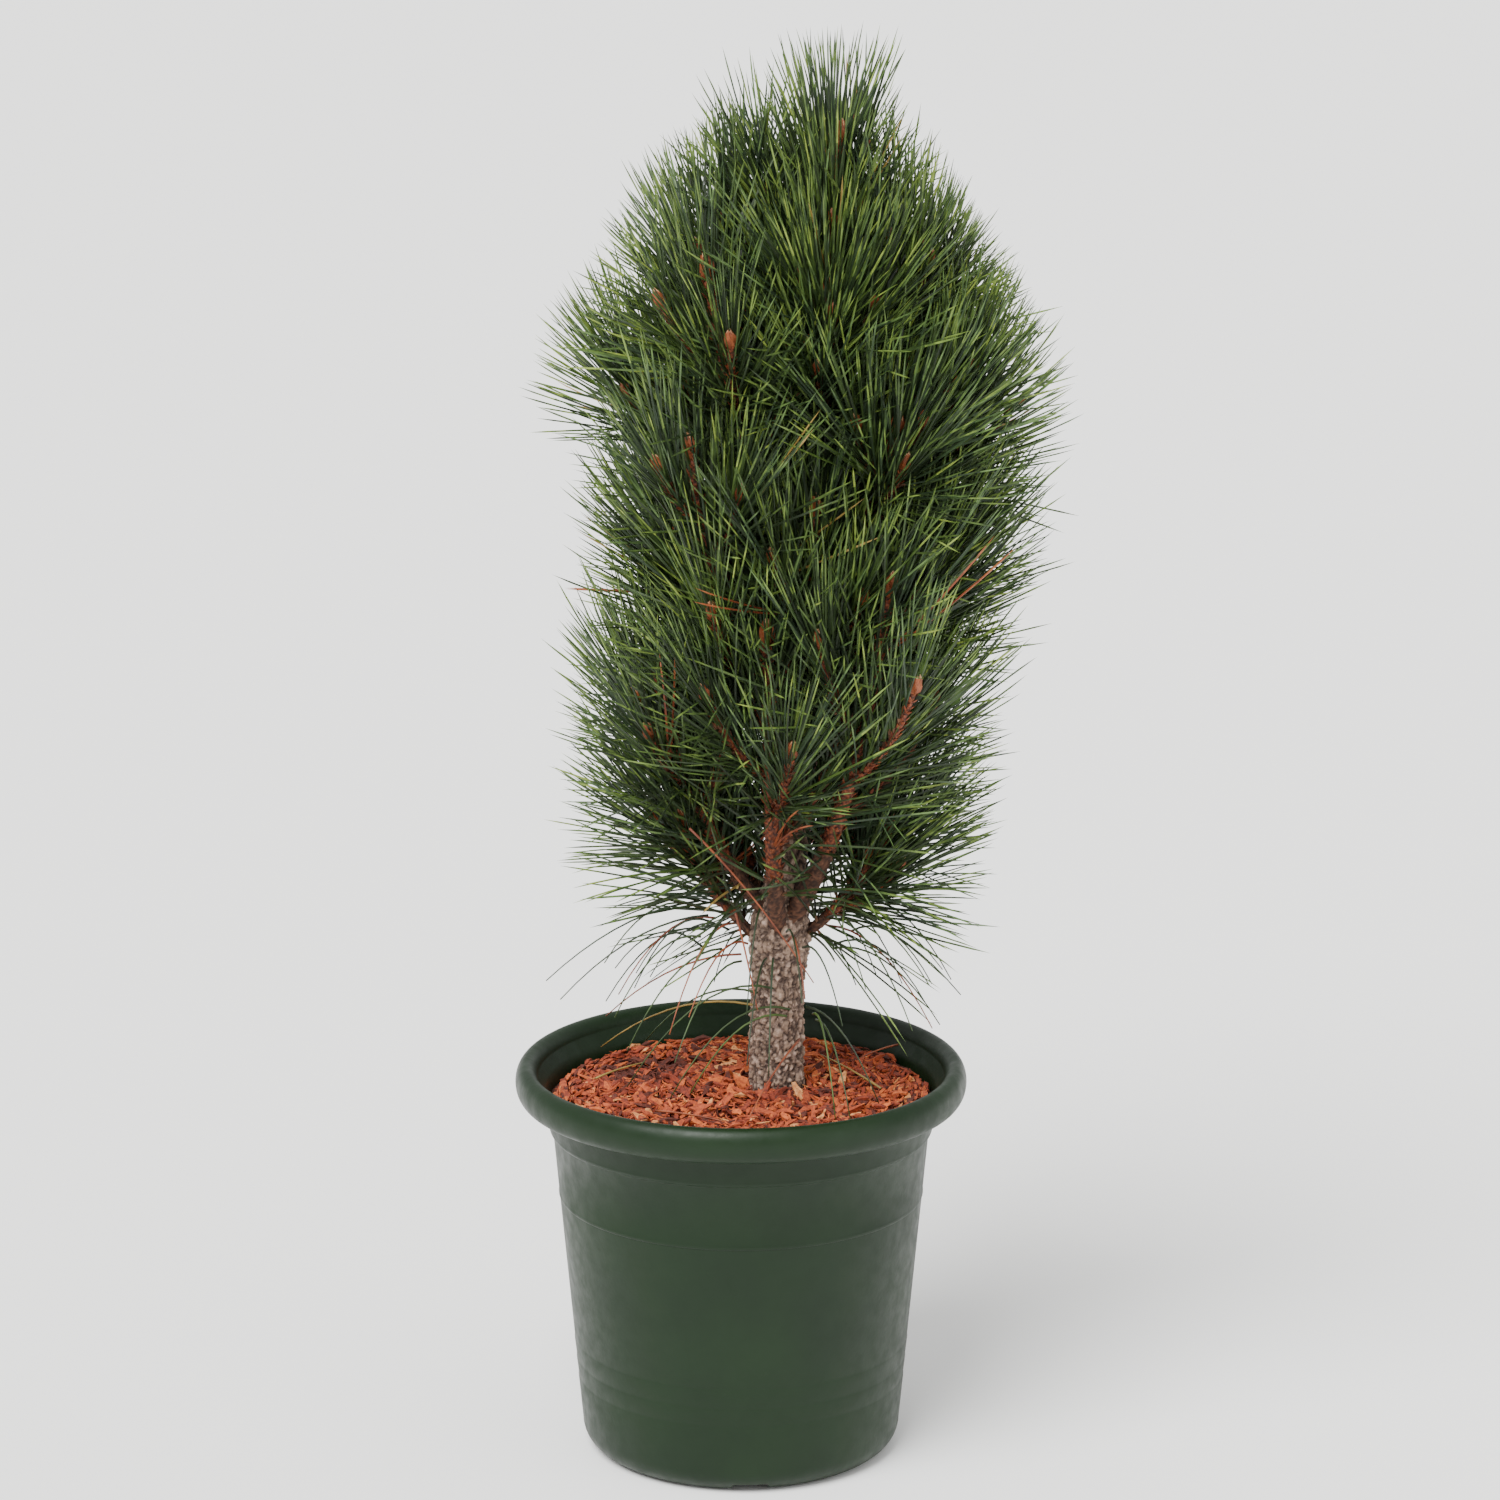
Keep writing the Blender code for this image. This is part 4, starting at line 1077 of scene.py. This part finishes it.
# How much chance changes a twig's tilt and length.
TILTS = (0.8, 1.2)
REACHES = (0.8, 1.15)
TWIG_LEAST = 10 * MM
TWIG_HALF = 0.55
TWIG_RISE = np.array((0.0, 0.0, 1.4))
TWIG_STEPS = 8
CLEAR_OF_SHOOT = 12 * MM
NEEDLE_ROOM = 50 * MM
GOLDEN_ANGLE = math.pi * (3.0 - math.sqrt(5.0))
chance = random.Random(SEED + 1)


def tilted(directions, tilts, turns):
    """Directions turned away from others by tilt, towards the side that turn gives."""
    helper = np.where(np.abs(directions[:, 2:3]) < 0.9, [[0.0, 0.0, 1.0]], [[1.0, 0.0, 0.0]])
    across = unit(np.cross(directions, helper))
    beside = np.cross(directions, across)
    side = across * np.cos(turns)[:, None] + beside * np.sin(turns)[:, None]
    return directions * np.cos(tilts)[:, None] + side * np.sin(tilts)[:, None], side


def with_twigs(name, path, bare):
    """A main stem and those of its side twigs that find room."""
    length = length_of(path) * (1.0 - bare)
    found = [Stem(name, path, bare, True)]
    turn = chance.uniform(0.0, 2 * math.pi)
    for place, share in zip(TWIG_PLACES, TWIG_SHARES):
        root, way = along_path(path, [bare + (1.0 - bare) * place])
        for _ in range(TWIG_TRIES):
            turn += GOLDEN_ANGLE * 2
            out, _ = tilted(way, np.array([TWIG_TILT * chance.uniform(*TILTS)]), np.array([turn]))
            reach = length * share * chance.uniform(*REACHES) + TWIG_LEAST
            bend = root[0] + out[0] * reach * TWIG_HALF
            tip = bend + unit(out[0] + TWIG_RISE) * reach * TWIG_HALF
            ahead = tip + unit(tip - bend) * NEEDLE_ROOM
            if has_room(root + out * CLEAR_OF_SHOOT, ahead[None])[0]:
                found.append(Stem(name, curve_through(root[0], bend, tip, TWIG_STEPS), 0.0, False))
                break
    return found


stems = []
for shoot in SHOOTS:
    stems += with_twigs(shoot.name, paths[shoot.name], shoot.bare)
stems += with_twigs("leader", leader_path, 0.0)
print("stems:", len(stems), "metres:", round(sum(length_of(s.path) * (1 - s.bare) for s in stems), 2))

# %% Make the stems
STEM_SIDES = 9
STEM_STEP = 3.0 * MM
SHOOT_STOPS = ((0.1, "#8A4A28"), (0.45, "#6B341C"), (0.8, "#2E150D"))


def shoot_wood():
    """The rough, orange brown skin of a shoot of this year and the last."""
    material, node, shader, place = new_material("scaly shoot, orange brown", "#7A4022", 0.75, 1.5)
    scales = node("ShaderNodeTexVoronoi", {"Vector": place, "Scale": 1 / (2.2 * MM)})
    coat(node, shader, node("ShaderNodeValToRGB", {"Fac": scales}, stops=SHOOT_STOPS), scales, -0.8 * MM)
    return material


def ends_of(stem, bare):
    """The radii of a stem where its bare part ends and at its bud."""
    return limb_radii(stem.path, (bare, 1.0)) if stem.is_main else np.array((TWIG_FOOT_RADIUS, TWIG_RADIUS))


bm = bmesh.new()
for stem in stems:
    steps = max(int(length_of(stem.path) * (1.0 - stem.bare) / STEM_STEP), 4)
    centres, _ = along_path(stem.path, np.linspace(stem.bare, 1.0, steps))
    tube(bm, centres, np.linspace(*ends_of(stem, stem.bare), steps), STEM_SIDES)
put_on(object_from(bm, "shoot_stems"), "bark", material=shoot_wood())

# %% [markdown]
# ## Scales and buds
# A pine's shoot is covered with small papery scales, one under each pair of needles, and it ends in a
# pointed bud wrapped in larger scales with pale, resin covered tips. Both are one small wedge, placed
# in a spiral that turns by the golden angle, which is how the plant itself spaces them.

# %% Shapes and finishes of scales
def scale_shape(name, thick):
    """A pointed wedge along Z, one unit long, that lies against its stem."""
    bm = bmesh.new()
    corners = ((-0.06, -0.22, 0.0), (-0.06, 0.22, 0.0), (thick, 0.0, 0.1))
    foot = [bm.verts.new(corner) for corner in corners]
    corners = ((0.0, -0.24, 0.45), (0.0, 0.24, 0.45), (thick * 1.2, 0.0, 0.5))
    middle = [bm.verts.new(corner) for corner in corners]
    tip = bm.verts.new((thick * 1.1, 0.0, 1.0))
    bm.faces.new(foot)
    for k in range(3):
        bm.faces.new((foot[k - 1], foot[k], middle[k], middle[k - 1]))
        bm.faces.new((middle[k - 1], middle[k], tip))
    return object_from(bm, name, smooth=False)


SCALE_TONES = (
    ("papery scale, chestnut", "#8E4523", "#5A2614"),
    ("papery scale, orange", "#98522A", "#6C341A"),
    ("resin tip, pale", "#D8B48C", "#B0805A"),
)
CHESTNUT, ORANGE, RESIN = range(3)
# Papery scales are thin and a little glossy. On a bud's last ones resin has dried to a pale crust.
scale_finishes = []
for tone, (name, colour, dark) in enumerate(SCALE_TONES):
    finish = grainy(name, colour, 0.6, 1.5, 5 * MM, 3.0, ((0.35, dark), (0.65, colour)))
    scale_finishes.append((0, tone, finish))

# %% Where scales sit
SCALES_PER_METRE = 950
SCALE_LENGTH = 4.2 * MM
SCALE_SPREAD = (0.75, 1.25)
SCALE_LEAN = (0.15, 0.5)
SCALE_SEAT = 0.95
ORANGE_SHARE = 0.35
# Where a spiral starts: anywhere in one turn.
PHASES = (0, 6.3)
BUD_LENGTH = 16 * MM
TWIG_BUD = 0.8
BUD_GIRTH = 0.27
BUD_SCALES = 34
BUD_SCALE_SHARE = 0.36
SCALED_UP_TO = 0.72
BUD_SCALE_SEAT = 0.8
PALE_FROM = 0.8


def spiral(path, first, count, radii, phase):
    """(roots, directions, sides, shares) of things set round a stem in a spiral."""
    share = (np.arange(count) + 0.5) / count
    centres, ways = along_path(path, first + (1.0 - first) * share)
    turns = phase + np.arange(count) * GOLDEN_ANGLE
    _, side = tilted(ways, np.full(count, 0.5 * math.pi), turns)
    return centres + side * np.interp(share, (0.0, 1.0), radii)[:, None], ways, side, share


def bud_outline(rise):
    """How thick a bud is at a share of its length: widest below its middle, pointed at its tip."""
    return np.sin(np.pi * np.clip(0.18 + 0.80 * rise, 0, 1)) ** 0.8


def scales_on(stem):
    """The scales along one stem."""
    count = int(SCALES_PER_METRE * (length_of(stem.path) * (1.0 - stem.bare)))
    radii = ends_of(stem, stem.bare) * SCALE_SEAT
    roots, ways, side, share = spiral(stem.path, stem.bare, count, radii, generator.uniform(*PHASES))
    return {
        "points": roots,
        "aim": unit(ways + side * generator.uniform(*SCALE_LEAN, (count, 1))),
        "side": side,
        "size": SCALE_LENGTH * generator.uniform(*SCALE_SPREAD, (count, 1)) * np.ones(3),
        "tone": np.where(generator.uniform(size=count) < ORANGE_SHARE, ORANGE, CHESTNUT),
        "shape": np.zeros(count, int),
    }


def bud_length(stem):
    return BUD_LENGTH * (1.0 if stem.is_main else TWIG_BUD)


def bud_scales(stem):
    """The scales of the bud at one stem's tip."""
    tip, way = along_path(stem.path, [1.0])
    rise = np.linspace(0.0, 1.0, BUD_SCALES)
    length = bud_length(stem)
    girth = BUD_GIRTH * length * bud_outline(rise)
    square = np.full(BUD_SCALES, 0.5 * math.pi)
    _, side = tilted(way.repeat(BUD_SCALES, 0), square, rise * BUD_SCALES * GOLDEN_ANGLE)
    points = tip + way * (rise * length * SCALED_UP_TO)[:, None]
    return {
        "points": points + side * (girth * BUD_SCALE_SEAT)[:, None],
        "aim": unit(way - side * (0.55 * rise[:, None] - 0.12)),
        "side": side,
        "size": length * BUD_SCALE_SHARE * np.ones((BUD_SCALES, 3)),
        "tone": np.where(rise > PALE_FROM, RESIN, ORANGE),
        "shape": np.ones(BUD_SCALES, int),
    }


def joined(parts):
    """Several sets of points with what they carry, as one."""
    return {label: np.concatenate([part[label] for part in parts]) for label in parts[0]}


# %% Wrap the stems and the buds in scales
scales = variants("scales", [scale_shape("scale_a", 0.16), scale_shape("scale_b", 0.26)])
parts = [scales_on(stem) for stem in stems] + [bud_scales(stem) for stem in stems]
cloud = point_cloud("shoot_scales", **joined(parts))
run_tree(cloud, placing_tree("scales", scale_finishes), Shapes=scales)
drop_variants(scales)
put_on(cloud, "bark")

# %% Cores of the buds
CORE_RISES = np.linspace(-0.05, 1.0, 9)
CORE_GIRTH = 0.25
CORE_LEAST = 0.3 * MM
CORE_SIDES = 10

bm = bmesh.new()
for stem in stems:
    tip, way = along_path(stem.path, [1.0])
    length = bud_length(stem)
    girth = np.maximum(CORE_GIRTH * length * bud_outline(CORE_RISES), CORE_LEAST)
    tube(bm, tip + way * (CORE_RISES * length)[:, None], girth, CORE_SIDES)
put_on(object_from(bm, "bud_cores"), "bark", material=scale_finishes[ORANGE][2])

# %% [markdown]
# ## Needles
# Black pine bears its needles in pairs: two half round needles up to thirteen centimetres long, held
# together at the root by a brown sheath. Both are made in one small mesh of unit length, so that one
# point of the cloud places a whole pair. Faces are numbered by what they are: sheath, blade or tip,
# because a tip is yellower than the blade, partly its own colour and partly painted highlight, and stays a
# plain colour of its own.

# %% Shape of a pair of needles
NEEDLE_WIDTH = 0.0150
SHEATH_RADIUS = NEEDLE_WIDTH * 0.75
BLADE_RADIUS = NEEDLE_WIDTH * 0.56
TAPER = 0.35
BLADE_STEPS = (0.06, 0.25, 0.5, 0.72, 0.88)
SHEATH_END = 0.07
SHEATH, BLADE, TIP = 0, 1, 2
# (how far the two tips part, how far both curve)
PAIR_SHAPES = ((0.045, 0.00), (0.075, 0.03), (0.11, -0.03), (0.06, 0.06), (0.09, -0.06))


def pair_shape(name, spread, curve):
    """Two three-sided needles along Z with a sheath. Points carry how far along they are."""
    bm = bmesh.new()
    part = bm.faces.layers.float.new("part")
    along = bm.verts.layers.float.new("along")

    def corner(x, y, z, share):
        vert = bm.verts.new((x, y, z))
        vert[along] = share
        return vert

    def ring(centre, radius, turn, share):
        x, y, z = centre
        angles = [turn + 2 * math.pi * k / 3 for k in range(3)]
        return [corner(x + radius * math.cos(a), y + radius * math.sin(a), z, share) for a in angles]

    def band(lower, upper, kind):
        for k in range(3):
            bm.faces.new((lower[k - 1], lower[k], upper[k], upper[k - 1]))[part] = kind

    foot = ring((0, 0, 0.0), SHEATH_RADIUS * 0.8, 0.3, 0.0)
    mouth = ring((0, 0, SHEATH_END), SHEATH_RADIUS, 0.3, SHEATH_END)
    band(foot, mouth, SHEATH)
    bm.faces.new(foot)[part] = SHEATH
    bm.faces.new(reversed(mouth))[part] = SHEATH
    for way in (-1, 1):
        length = chance.uniform(0.92, 1.0)
        rings = []
        for share in BLADE_STEPS:
            out = way * spread * share + curve * share * share
            centre = (out, way * 0.0015 + 0.012 * way * share * share, share * length)
            rings.append(ring(centre, BLADE_RADIUS * (1.0 - TAPER * share), math.pi * (way > 0), share))
        for lower, upper in zip(rings, rings[1:]):
            band(lower, upper, TIP if upper is rings[-1] else BLADE)
        point = corner(way * spread + curve, 0.012 * way, length, 1.0)
        for k in range(3):
            bm.faces.new((rings[-1][k - 1], rings[-1][k], point))[part] = TIP
        bm.faces.new(rings[0])[part] = BLADE
    return object_from(bm, name, smooth=False)


chance = random.Random(SEED + 2)
pairs = variants("pairs", [pair_shape(f"pair_{i}", *shape) for i, shape in enumerate(PAIR_SHAPES)])

# %% [markdown]
# ## The needles' greens
# From a step away the crown is one dark green, but close up each brush has its own: bluish in the
# shade, yellower on the newest growth. Colours that belong to a place are handed out as plain
# finishes, a few per brush. A needle has a thin wax coat, so it shines along its length. Last year's
# needles inside the crown turn straw, then rust, before they fall.

# %% Needle finishes
def needle_finish(name, colour, shade, roughness=0.5):
    """A waxy needle, with the streaks that rows of pores leave, drawn coarser so that they show."""
    return grainy(name, colour, roughness, 1.45, 12 * MM, 2.0, ((0.38, shade), (0.62, colour)))


# (name, colour, its darker streaks, colour of the tip: lighter, partly as painted highlight)
NEEDLE_TONES = (
    ("needle, deep green", "#29381A", "#1A2611", "#4E642C"),
    ("needle, green", "#374B20", "#263717", "#6C8239"),
    ("needle, blue green", "#2C3F23", "#1E2D1A", "#59733B"),
    ("needle, fresh green", "#4B6227", "#364A1D", "#8A9C43"),
    ("needle, straw", "#94793A", "#75602E", "#A58C50"),
    ("needle, rust", "#8E4A2A", "#6B3320", "#A5623C"),
)
DEEP, GREEN, BLUE, FRESH, STRAW, RUST = range(6)
# The shares of the four greens in three kinds of brush.
BRUSH_SHARES = ((0.45, 0.33, 0.18, 0.04), (0.28, 0.42, 0.16, 0.14), (0.22, 0.30, 0.40, 0.08))
sheath_finish = needle_finish("needle sheath, brown", "#6B4A32", "#3E281B", 0.8)
blade_finishes = []
needle_parts = []
for tone, (name, colour, shade, tip) in enumerate(NEEDLE_TONES):
    blade_finishes.append(needle_finish(name, colour, shade))
    needle_parts.append((SHEATH, tone, sheath_finish))
    needle_parts.append((BLADE, tone, blade_finishes[-1]))
    # Each tip is paler and yellower: partly the needle's own colour, partly painted highlight.
    needle_parts.append((TIP, tone, needle_finish(name + ", tip", tip, colour)))
print("needle finishes:", len(needle_parts))

# %% [markdown]
# ## Where the needles grow
# Needles leave the old wood almost level and stand more upright towards the bud. They are longest on
# the old wood. Each also bends a little: up, towards the light, on the young shoots, and down, under
# its own weight, on the lowest ones. The rule gives every needle a root, an aim and a length, and then
# asks whether there is room for it.

# %% The rule for one stem
PAIRS_PER_METRE = 430
PAIRS_MORE = {True: 10, False: 14}
# The fronts of these shoots are rubbed nearly bare up to this share of their length.
RUBBED_BARE = {"low_front": 0.55, "low_front_right": 0.42, "mid_front": 0.3}
RUBBED_SHARE = 0.75
NEEDLED_FROM = 0.55
TWIG_AGE = 0.35
OLD_NEEDLE = 0.124
YOUNG_NEEDLE = 0.088
NEEDLE_SPREAD = 0.14
ROOT_OUT = 1.5
TILT_AT_FOOT = ((0.34, math.radians(84)), (0.46, math.radians(60)), (0.60, math.radians(48)))
TILT_AT_BUD = math.radians(15)
TILT_CURVE = 0.62
TILT_SPREAD = math.radians(7)
TURN_SPREAD = 0.25
CUTS = (1.0, 0.9, 0.8, 0.7)
DROOP_BELOW = 0.46
DROOP_BAND = 0.12
DROOPS = (0.02, 0.30)
LIFT_MEAN = 0.035
LIFT_SPREAD = 0.03
NEEDLE_SEAT = 0.6
DYING_SHARE = 0.02


def needles_of(stem, brush):
    """The needle pairs of one stem, as the facts that the placing tree reads."""
    bare = stem.bare * NEEDLED_FROM
    length = length_of(stem.path) * (1.0 - bare)
    count = int(PAIRS_PER_METRE * length) + PAIRS_MORE[stem.is_main]
    radii = ends_of(stem, bare) * NEEDLE_SEAT
    roots, ways, _, share = spiral(stem.path, bare, count, radii, generator.uniform(*PHASES))
    if not stem.is_main:
        share = TWIG_AGE + (1.0 - TWIG_AGE) * share
    at_foot = np.interp(roots[:, 2], *zip(*TILT_AT_FOOT))
    lean = at_foot + (TILT_AT_BUD - at_foot) * share**TILT_CURVE
    lean += generator.normal(0.0, TILT_SPREAD, count)
    turns = np.arange(count) * GOLDEN_ANGLE + generator.normal(0.0, TURN_SPREAD, count)
    aim, side = tilted(ways, lean, turns)
    places = bare + (1.0 - bare) * (np.arange(count) + 0.5) / count
    roots = along_path(stem.path, places)[0] + side * ROOT_OUT * MM
    whole = OLD_NEEDLE + (YOUNG_NEEDLE - OLD_NEEDLE) * share
    whole = whole * generator.uniform(1.0 - NEEDLE_SPREAD, 1.0 + NEEDLE_SPREAD * 0.6, count)
    droop = np.clip((DROOP_BELOW - roots[:, 2]) / DROOP_BAND, 0.0, 1.0) * np.sin(lean)
    lift = generator.normal(LIFT_MEAN, LIFT_SPREAD, count) - droop * generator.uniform(*DROOPS, count)
    bend = np.stack([np.zeros(count), np.zeros(count), lift * whole], 1)
    size = np.zeros(count)
    for cut in CUTS:
        left = size == 0
        tips = roots + aim * (whole * cut)[:, None] + bend * cut
        fits = np.zeros(count, bool)
        fits[left] = has_room(roots[left], tips[left])
        size[fits] = (whole * cut)[fits]
    tone = generator.choice(4, count, p=BRUSH_SHARES[brush % len(BRUSH_SHARES)])
    dying = generator.uniform(size=count) < DYING_SHARE * (1.0 - share)
    tone[dying] = generator.choice((STRAW, RUST), int(dying.sum()))
    rubbed = share < RUBBED_BARE.get(stem.name, 0.0)
    rubbed &= generator.uniform(size=count) < RUBBED_SHARE
    kept = (size > 0) & ~(rubbed & stem.is_main)
    found = {
        "points": roots,
        "aim": aim,
        "shape": generator.integers(0, len(PAIR_SHAPES), count),
        "side": generator.normal(0.0, 1.0, (count, 3)),
        "size": size[:, None] * np.ones(3),
        "bend": bend * (size / whole)[:, None],
        "tone": tone,
    }
    return {label: values[kept] for label, values in found.items()}


# %% Grow every brush of needles
PAIRS_PER_PIECE = 2600

grown = {}
for brush, stem in enumerate(stems):
    grown.setdefault(stem.name, []).append(needles_of(stem, brush))
grown = {name: joined(brushes) for name, brushes in grown.items()}
batches = [[]]
for name, needles in grown.items():
    held = sum(len(grown[other]["points"]) for other in batches[-1])
    if held + len(needles["points"]) > PAIRS_PER_PIECE:
        batches.append([])
    batches[-1].append(name)
needle_tree = placing_tree("needles", needle_parts)
for i, names in enumerate(batches):
    cloud = point_cloud(f"foliage_{i}", **joined([grown[name] for name in names]))
    run_tree(cloud, needle_tree, Shapes=pairs)
    put_on(cloud, "needles", *[f"needles_{name}" for name in names])
drop_variants(pairs)
print("pairs of needles:", sum(len(needles["points"]) for needles in grown.values()))

# %% [markdown]
# ## Needles that hang or have fallen
# The lowest needles are the oldest. Some hang down in long arcs over the bark, some are rust coloured
# and lie where they fell. They are few enough to be drawn one by one, as thin tubes along an arc.

# %% Hanging and fallen needles
Stray = namedtuple("Stray", "start end sag tone")
STRAYS = (
    Stray((0.030, -0.018, 0.287), (-0.043, -0.048, 0.240), 0.020, GREEN),
    Stray((0.028, -0.022, 0.284), (-0.031, -0.040, 0.240), 0.016, FRESH),
    Stray((0.020, -0.016, 0.300), (-0.070, -0.030, 0.241), 0.022, GREEN),
    Stray((0.010, -0.012, 0.296), (-0.061, 0.060, 0.242), 0.014, GREEN),
    Stray((0.046, -0.020, 0.281), (0.066, -0.087, 0.239), 0.016, GREEN),
    Stray((0.044, -0.021, 0.285), (0.057, -0.086, 0.239), 0.020, FRESH),
    Stray((0.040, -0.022, 0.290), (0.084, -0.060, 0.240), 0.014, DEEP),
    Stray((0.036, -0.020, 0.268), (0.005, -0.087, 0.240), 0.004, RUST),
    Stray((0.099, 0.060, 0.240), (0.074, 0.022, 0.243), 0.001, RUST),
    Stray((0.007, -0.018, 0.290), (-0.088, 0.046, 0.243), 0.012, STRAW),
    Stray((0.000, -0.010, 0.320), (-0.085, 0.050, 0.262), 0.010, RUST),
    Stray((-0.031, -0.062, 0.414), (0.044, -0.058, 0.316), 0.006, RUST),
    Stray((-0.004, -0.050, 0.360), (0.010, -0.062, 0.300), 0.003, RUST),
    Stray((-0.020, -0.010, 0.345), (-0.111, -0.020, 0.294), 0.012, DEEP),
    Stray((-0.026, 0.004, 0.350), (-0.120, -0.010, 0.303), 0.010, BLUE),
    Stray((0.060, -0.004, 0.345), (0.135, -0.020, 0.297), 0.010, BLUE),
    Stray((-0.052, -0.074, 0.240), (-0.010, -0.098, 0.241), 0.001, RUST),
    Stray((0.086, -0.030, 0.240), (0.050, 0.030, 0.243), 0.001, STRAW),
    Stray((-0.090, -0.010, 0.240), (-0.060, 0.020, 0.241), 0.001, STRAW),
)
HANGING_COUNT = 34
HANGING_TONES = (DEEP, GREEN, GREEN, BLUE, BLUE, RUST)
HANGING_SAG = 0.016
# Where they start, how much further out and how much lower they end.
HANGING_FROM = (0.028, 0.05)
HANGING_TOP = (0.315, 0.365)
HANGING_OUT = (0.045, 0.078)
HANGING_DROP = (0.02, 0.065)
STRAY_RADIUS = 0.80 * MM
STRAY_STEPS = 9
STRAY_SIDES = 5
TIP_SHARE = 0.45

chance = random.Random(SEED + 3)
strays = list(STRAYS)
for _ in range(HANGING_COUNT):
    angle = chance.uniform(0.0, 2 * math.pi)
    way = Vector((math.cos(angle), math.sin(angle)))
    start = TRUNK_FOOT + way * chance.uniform(*HANGING_FROM)
    end = start + way * chance.uniform(*HANGING_OUT)
    top = chance.uniform(*HANGING_TOP)
    foot = top - chance.uniform(*HANGING_DROP)
    strays.append(Stray((*start, top), (*end, foot), HANGING_SAG, chance.choice(HANGING_TONES)))
bm = bmesh.new()
for stray in strays:
    start, end = np.array(stray.start), np.array(stray.end)
    middle = 0.5 * (start + end) + np.array((0.0, 0.0, 2 * stray.sag))
    line = curve_through(start, middle, end, STRAY_STEPS)
    faces_before = len(bm.faces)
    tube(bm, line, np.linspace(1.0, TIP_SHARE, len(line)) * STRAY_RADIUS, STRAY_SIDES)
    bm.faces.ensure_lookup_table()
    for face in bm.faces[faces_before:]:
        face.material_index = stray.tone
loose = object_from(bm, "stray_needles")
for finish in blade_finishes:
    loose.data.materials.append(finish)
put_on(loose, "needles")

# %% [markdown]
# ## Floor and light
# The photograph was taken on white, under large soft lamps. A wide pale floor stands in for the
# paper. A sun as wide as a soft box, high at the front left, lights plant and floor alike, a weaker
# lamp at the right fills its shadows, and a white sky does the rest.

# %% Floor, lamps and sky
FLOOR_SIDE = 60.0
SUN_WAY = (0.45, 0.75, -1.15)
SUN_STRENGTH = 5.6
SUN_WIDTH = math.radians(35)
FILL_PLACE = (2.0, -1.6, 1.0)
FILL_AIM = (0.0, 0.0, 0.4)
FILL_SIDE = 1.6
FILL_POWER = 14

bm = bmesh.new()
bmesh.ops.create_grid(bm, x_segments=1, y_segments=1, size=FLOOR_SIDE / 2)
floor = object_from(bm, "floor", smooth=False)
# Matt paper, so that the floor shows nothing but the plant's soft shadow.
floor.data.materials.append(new_material("pale paper", "#F8F8F6", 0.95, 1.45)[0])
floor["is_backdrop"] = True

sun = bpy.data.lights.new("key", "SUN")
sun.energy = SUN_STRENGTH
sun.angle = SUN_WIDTH
look(add_object("key", sun), (0.0, 0.0, 0.0), SUN_WAY)
fill = bpy.data.lights.new("fill", "AREA")
fill.size = FILL_SIDE
fill.energy = FILL_POWER
look(add_object("fill", fill), FILL_PLACE, FILL_AIM)
world = bpy.data.worlds.new("white sky")
bpy.context.scene.world = world
world.use_nodes = True
feed(world.node_tree.nodes["Background"], {"Color": linear("#FFFFFF"), "Strength": 1.0})

# %% [markdown]
# ## Measure and finish
# The dressed plant must not outgrow the solids, so both boxes are set side by side, and the
# dressed box is printed.

# %% Sizes
dressed_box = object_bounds()
sizes = {"cad": [list(corner) for corner in cad_box], "visual": [list(corner) for corner in dressed_box]}
print("dressed box:", [tuple(round(c, 3) for c in corner) for corner in dressed_box])
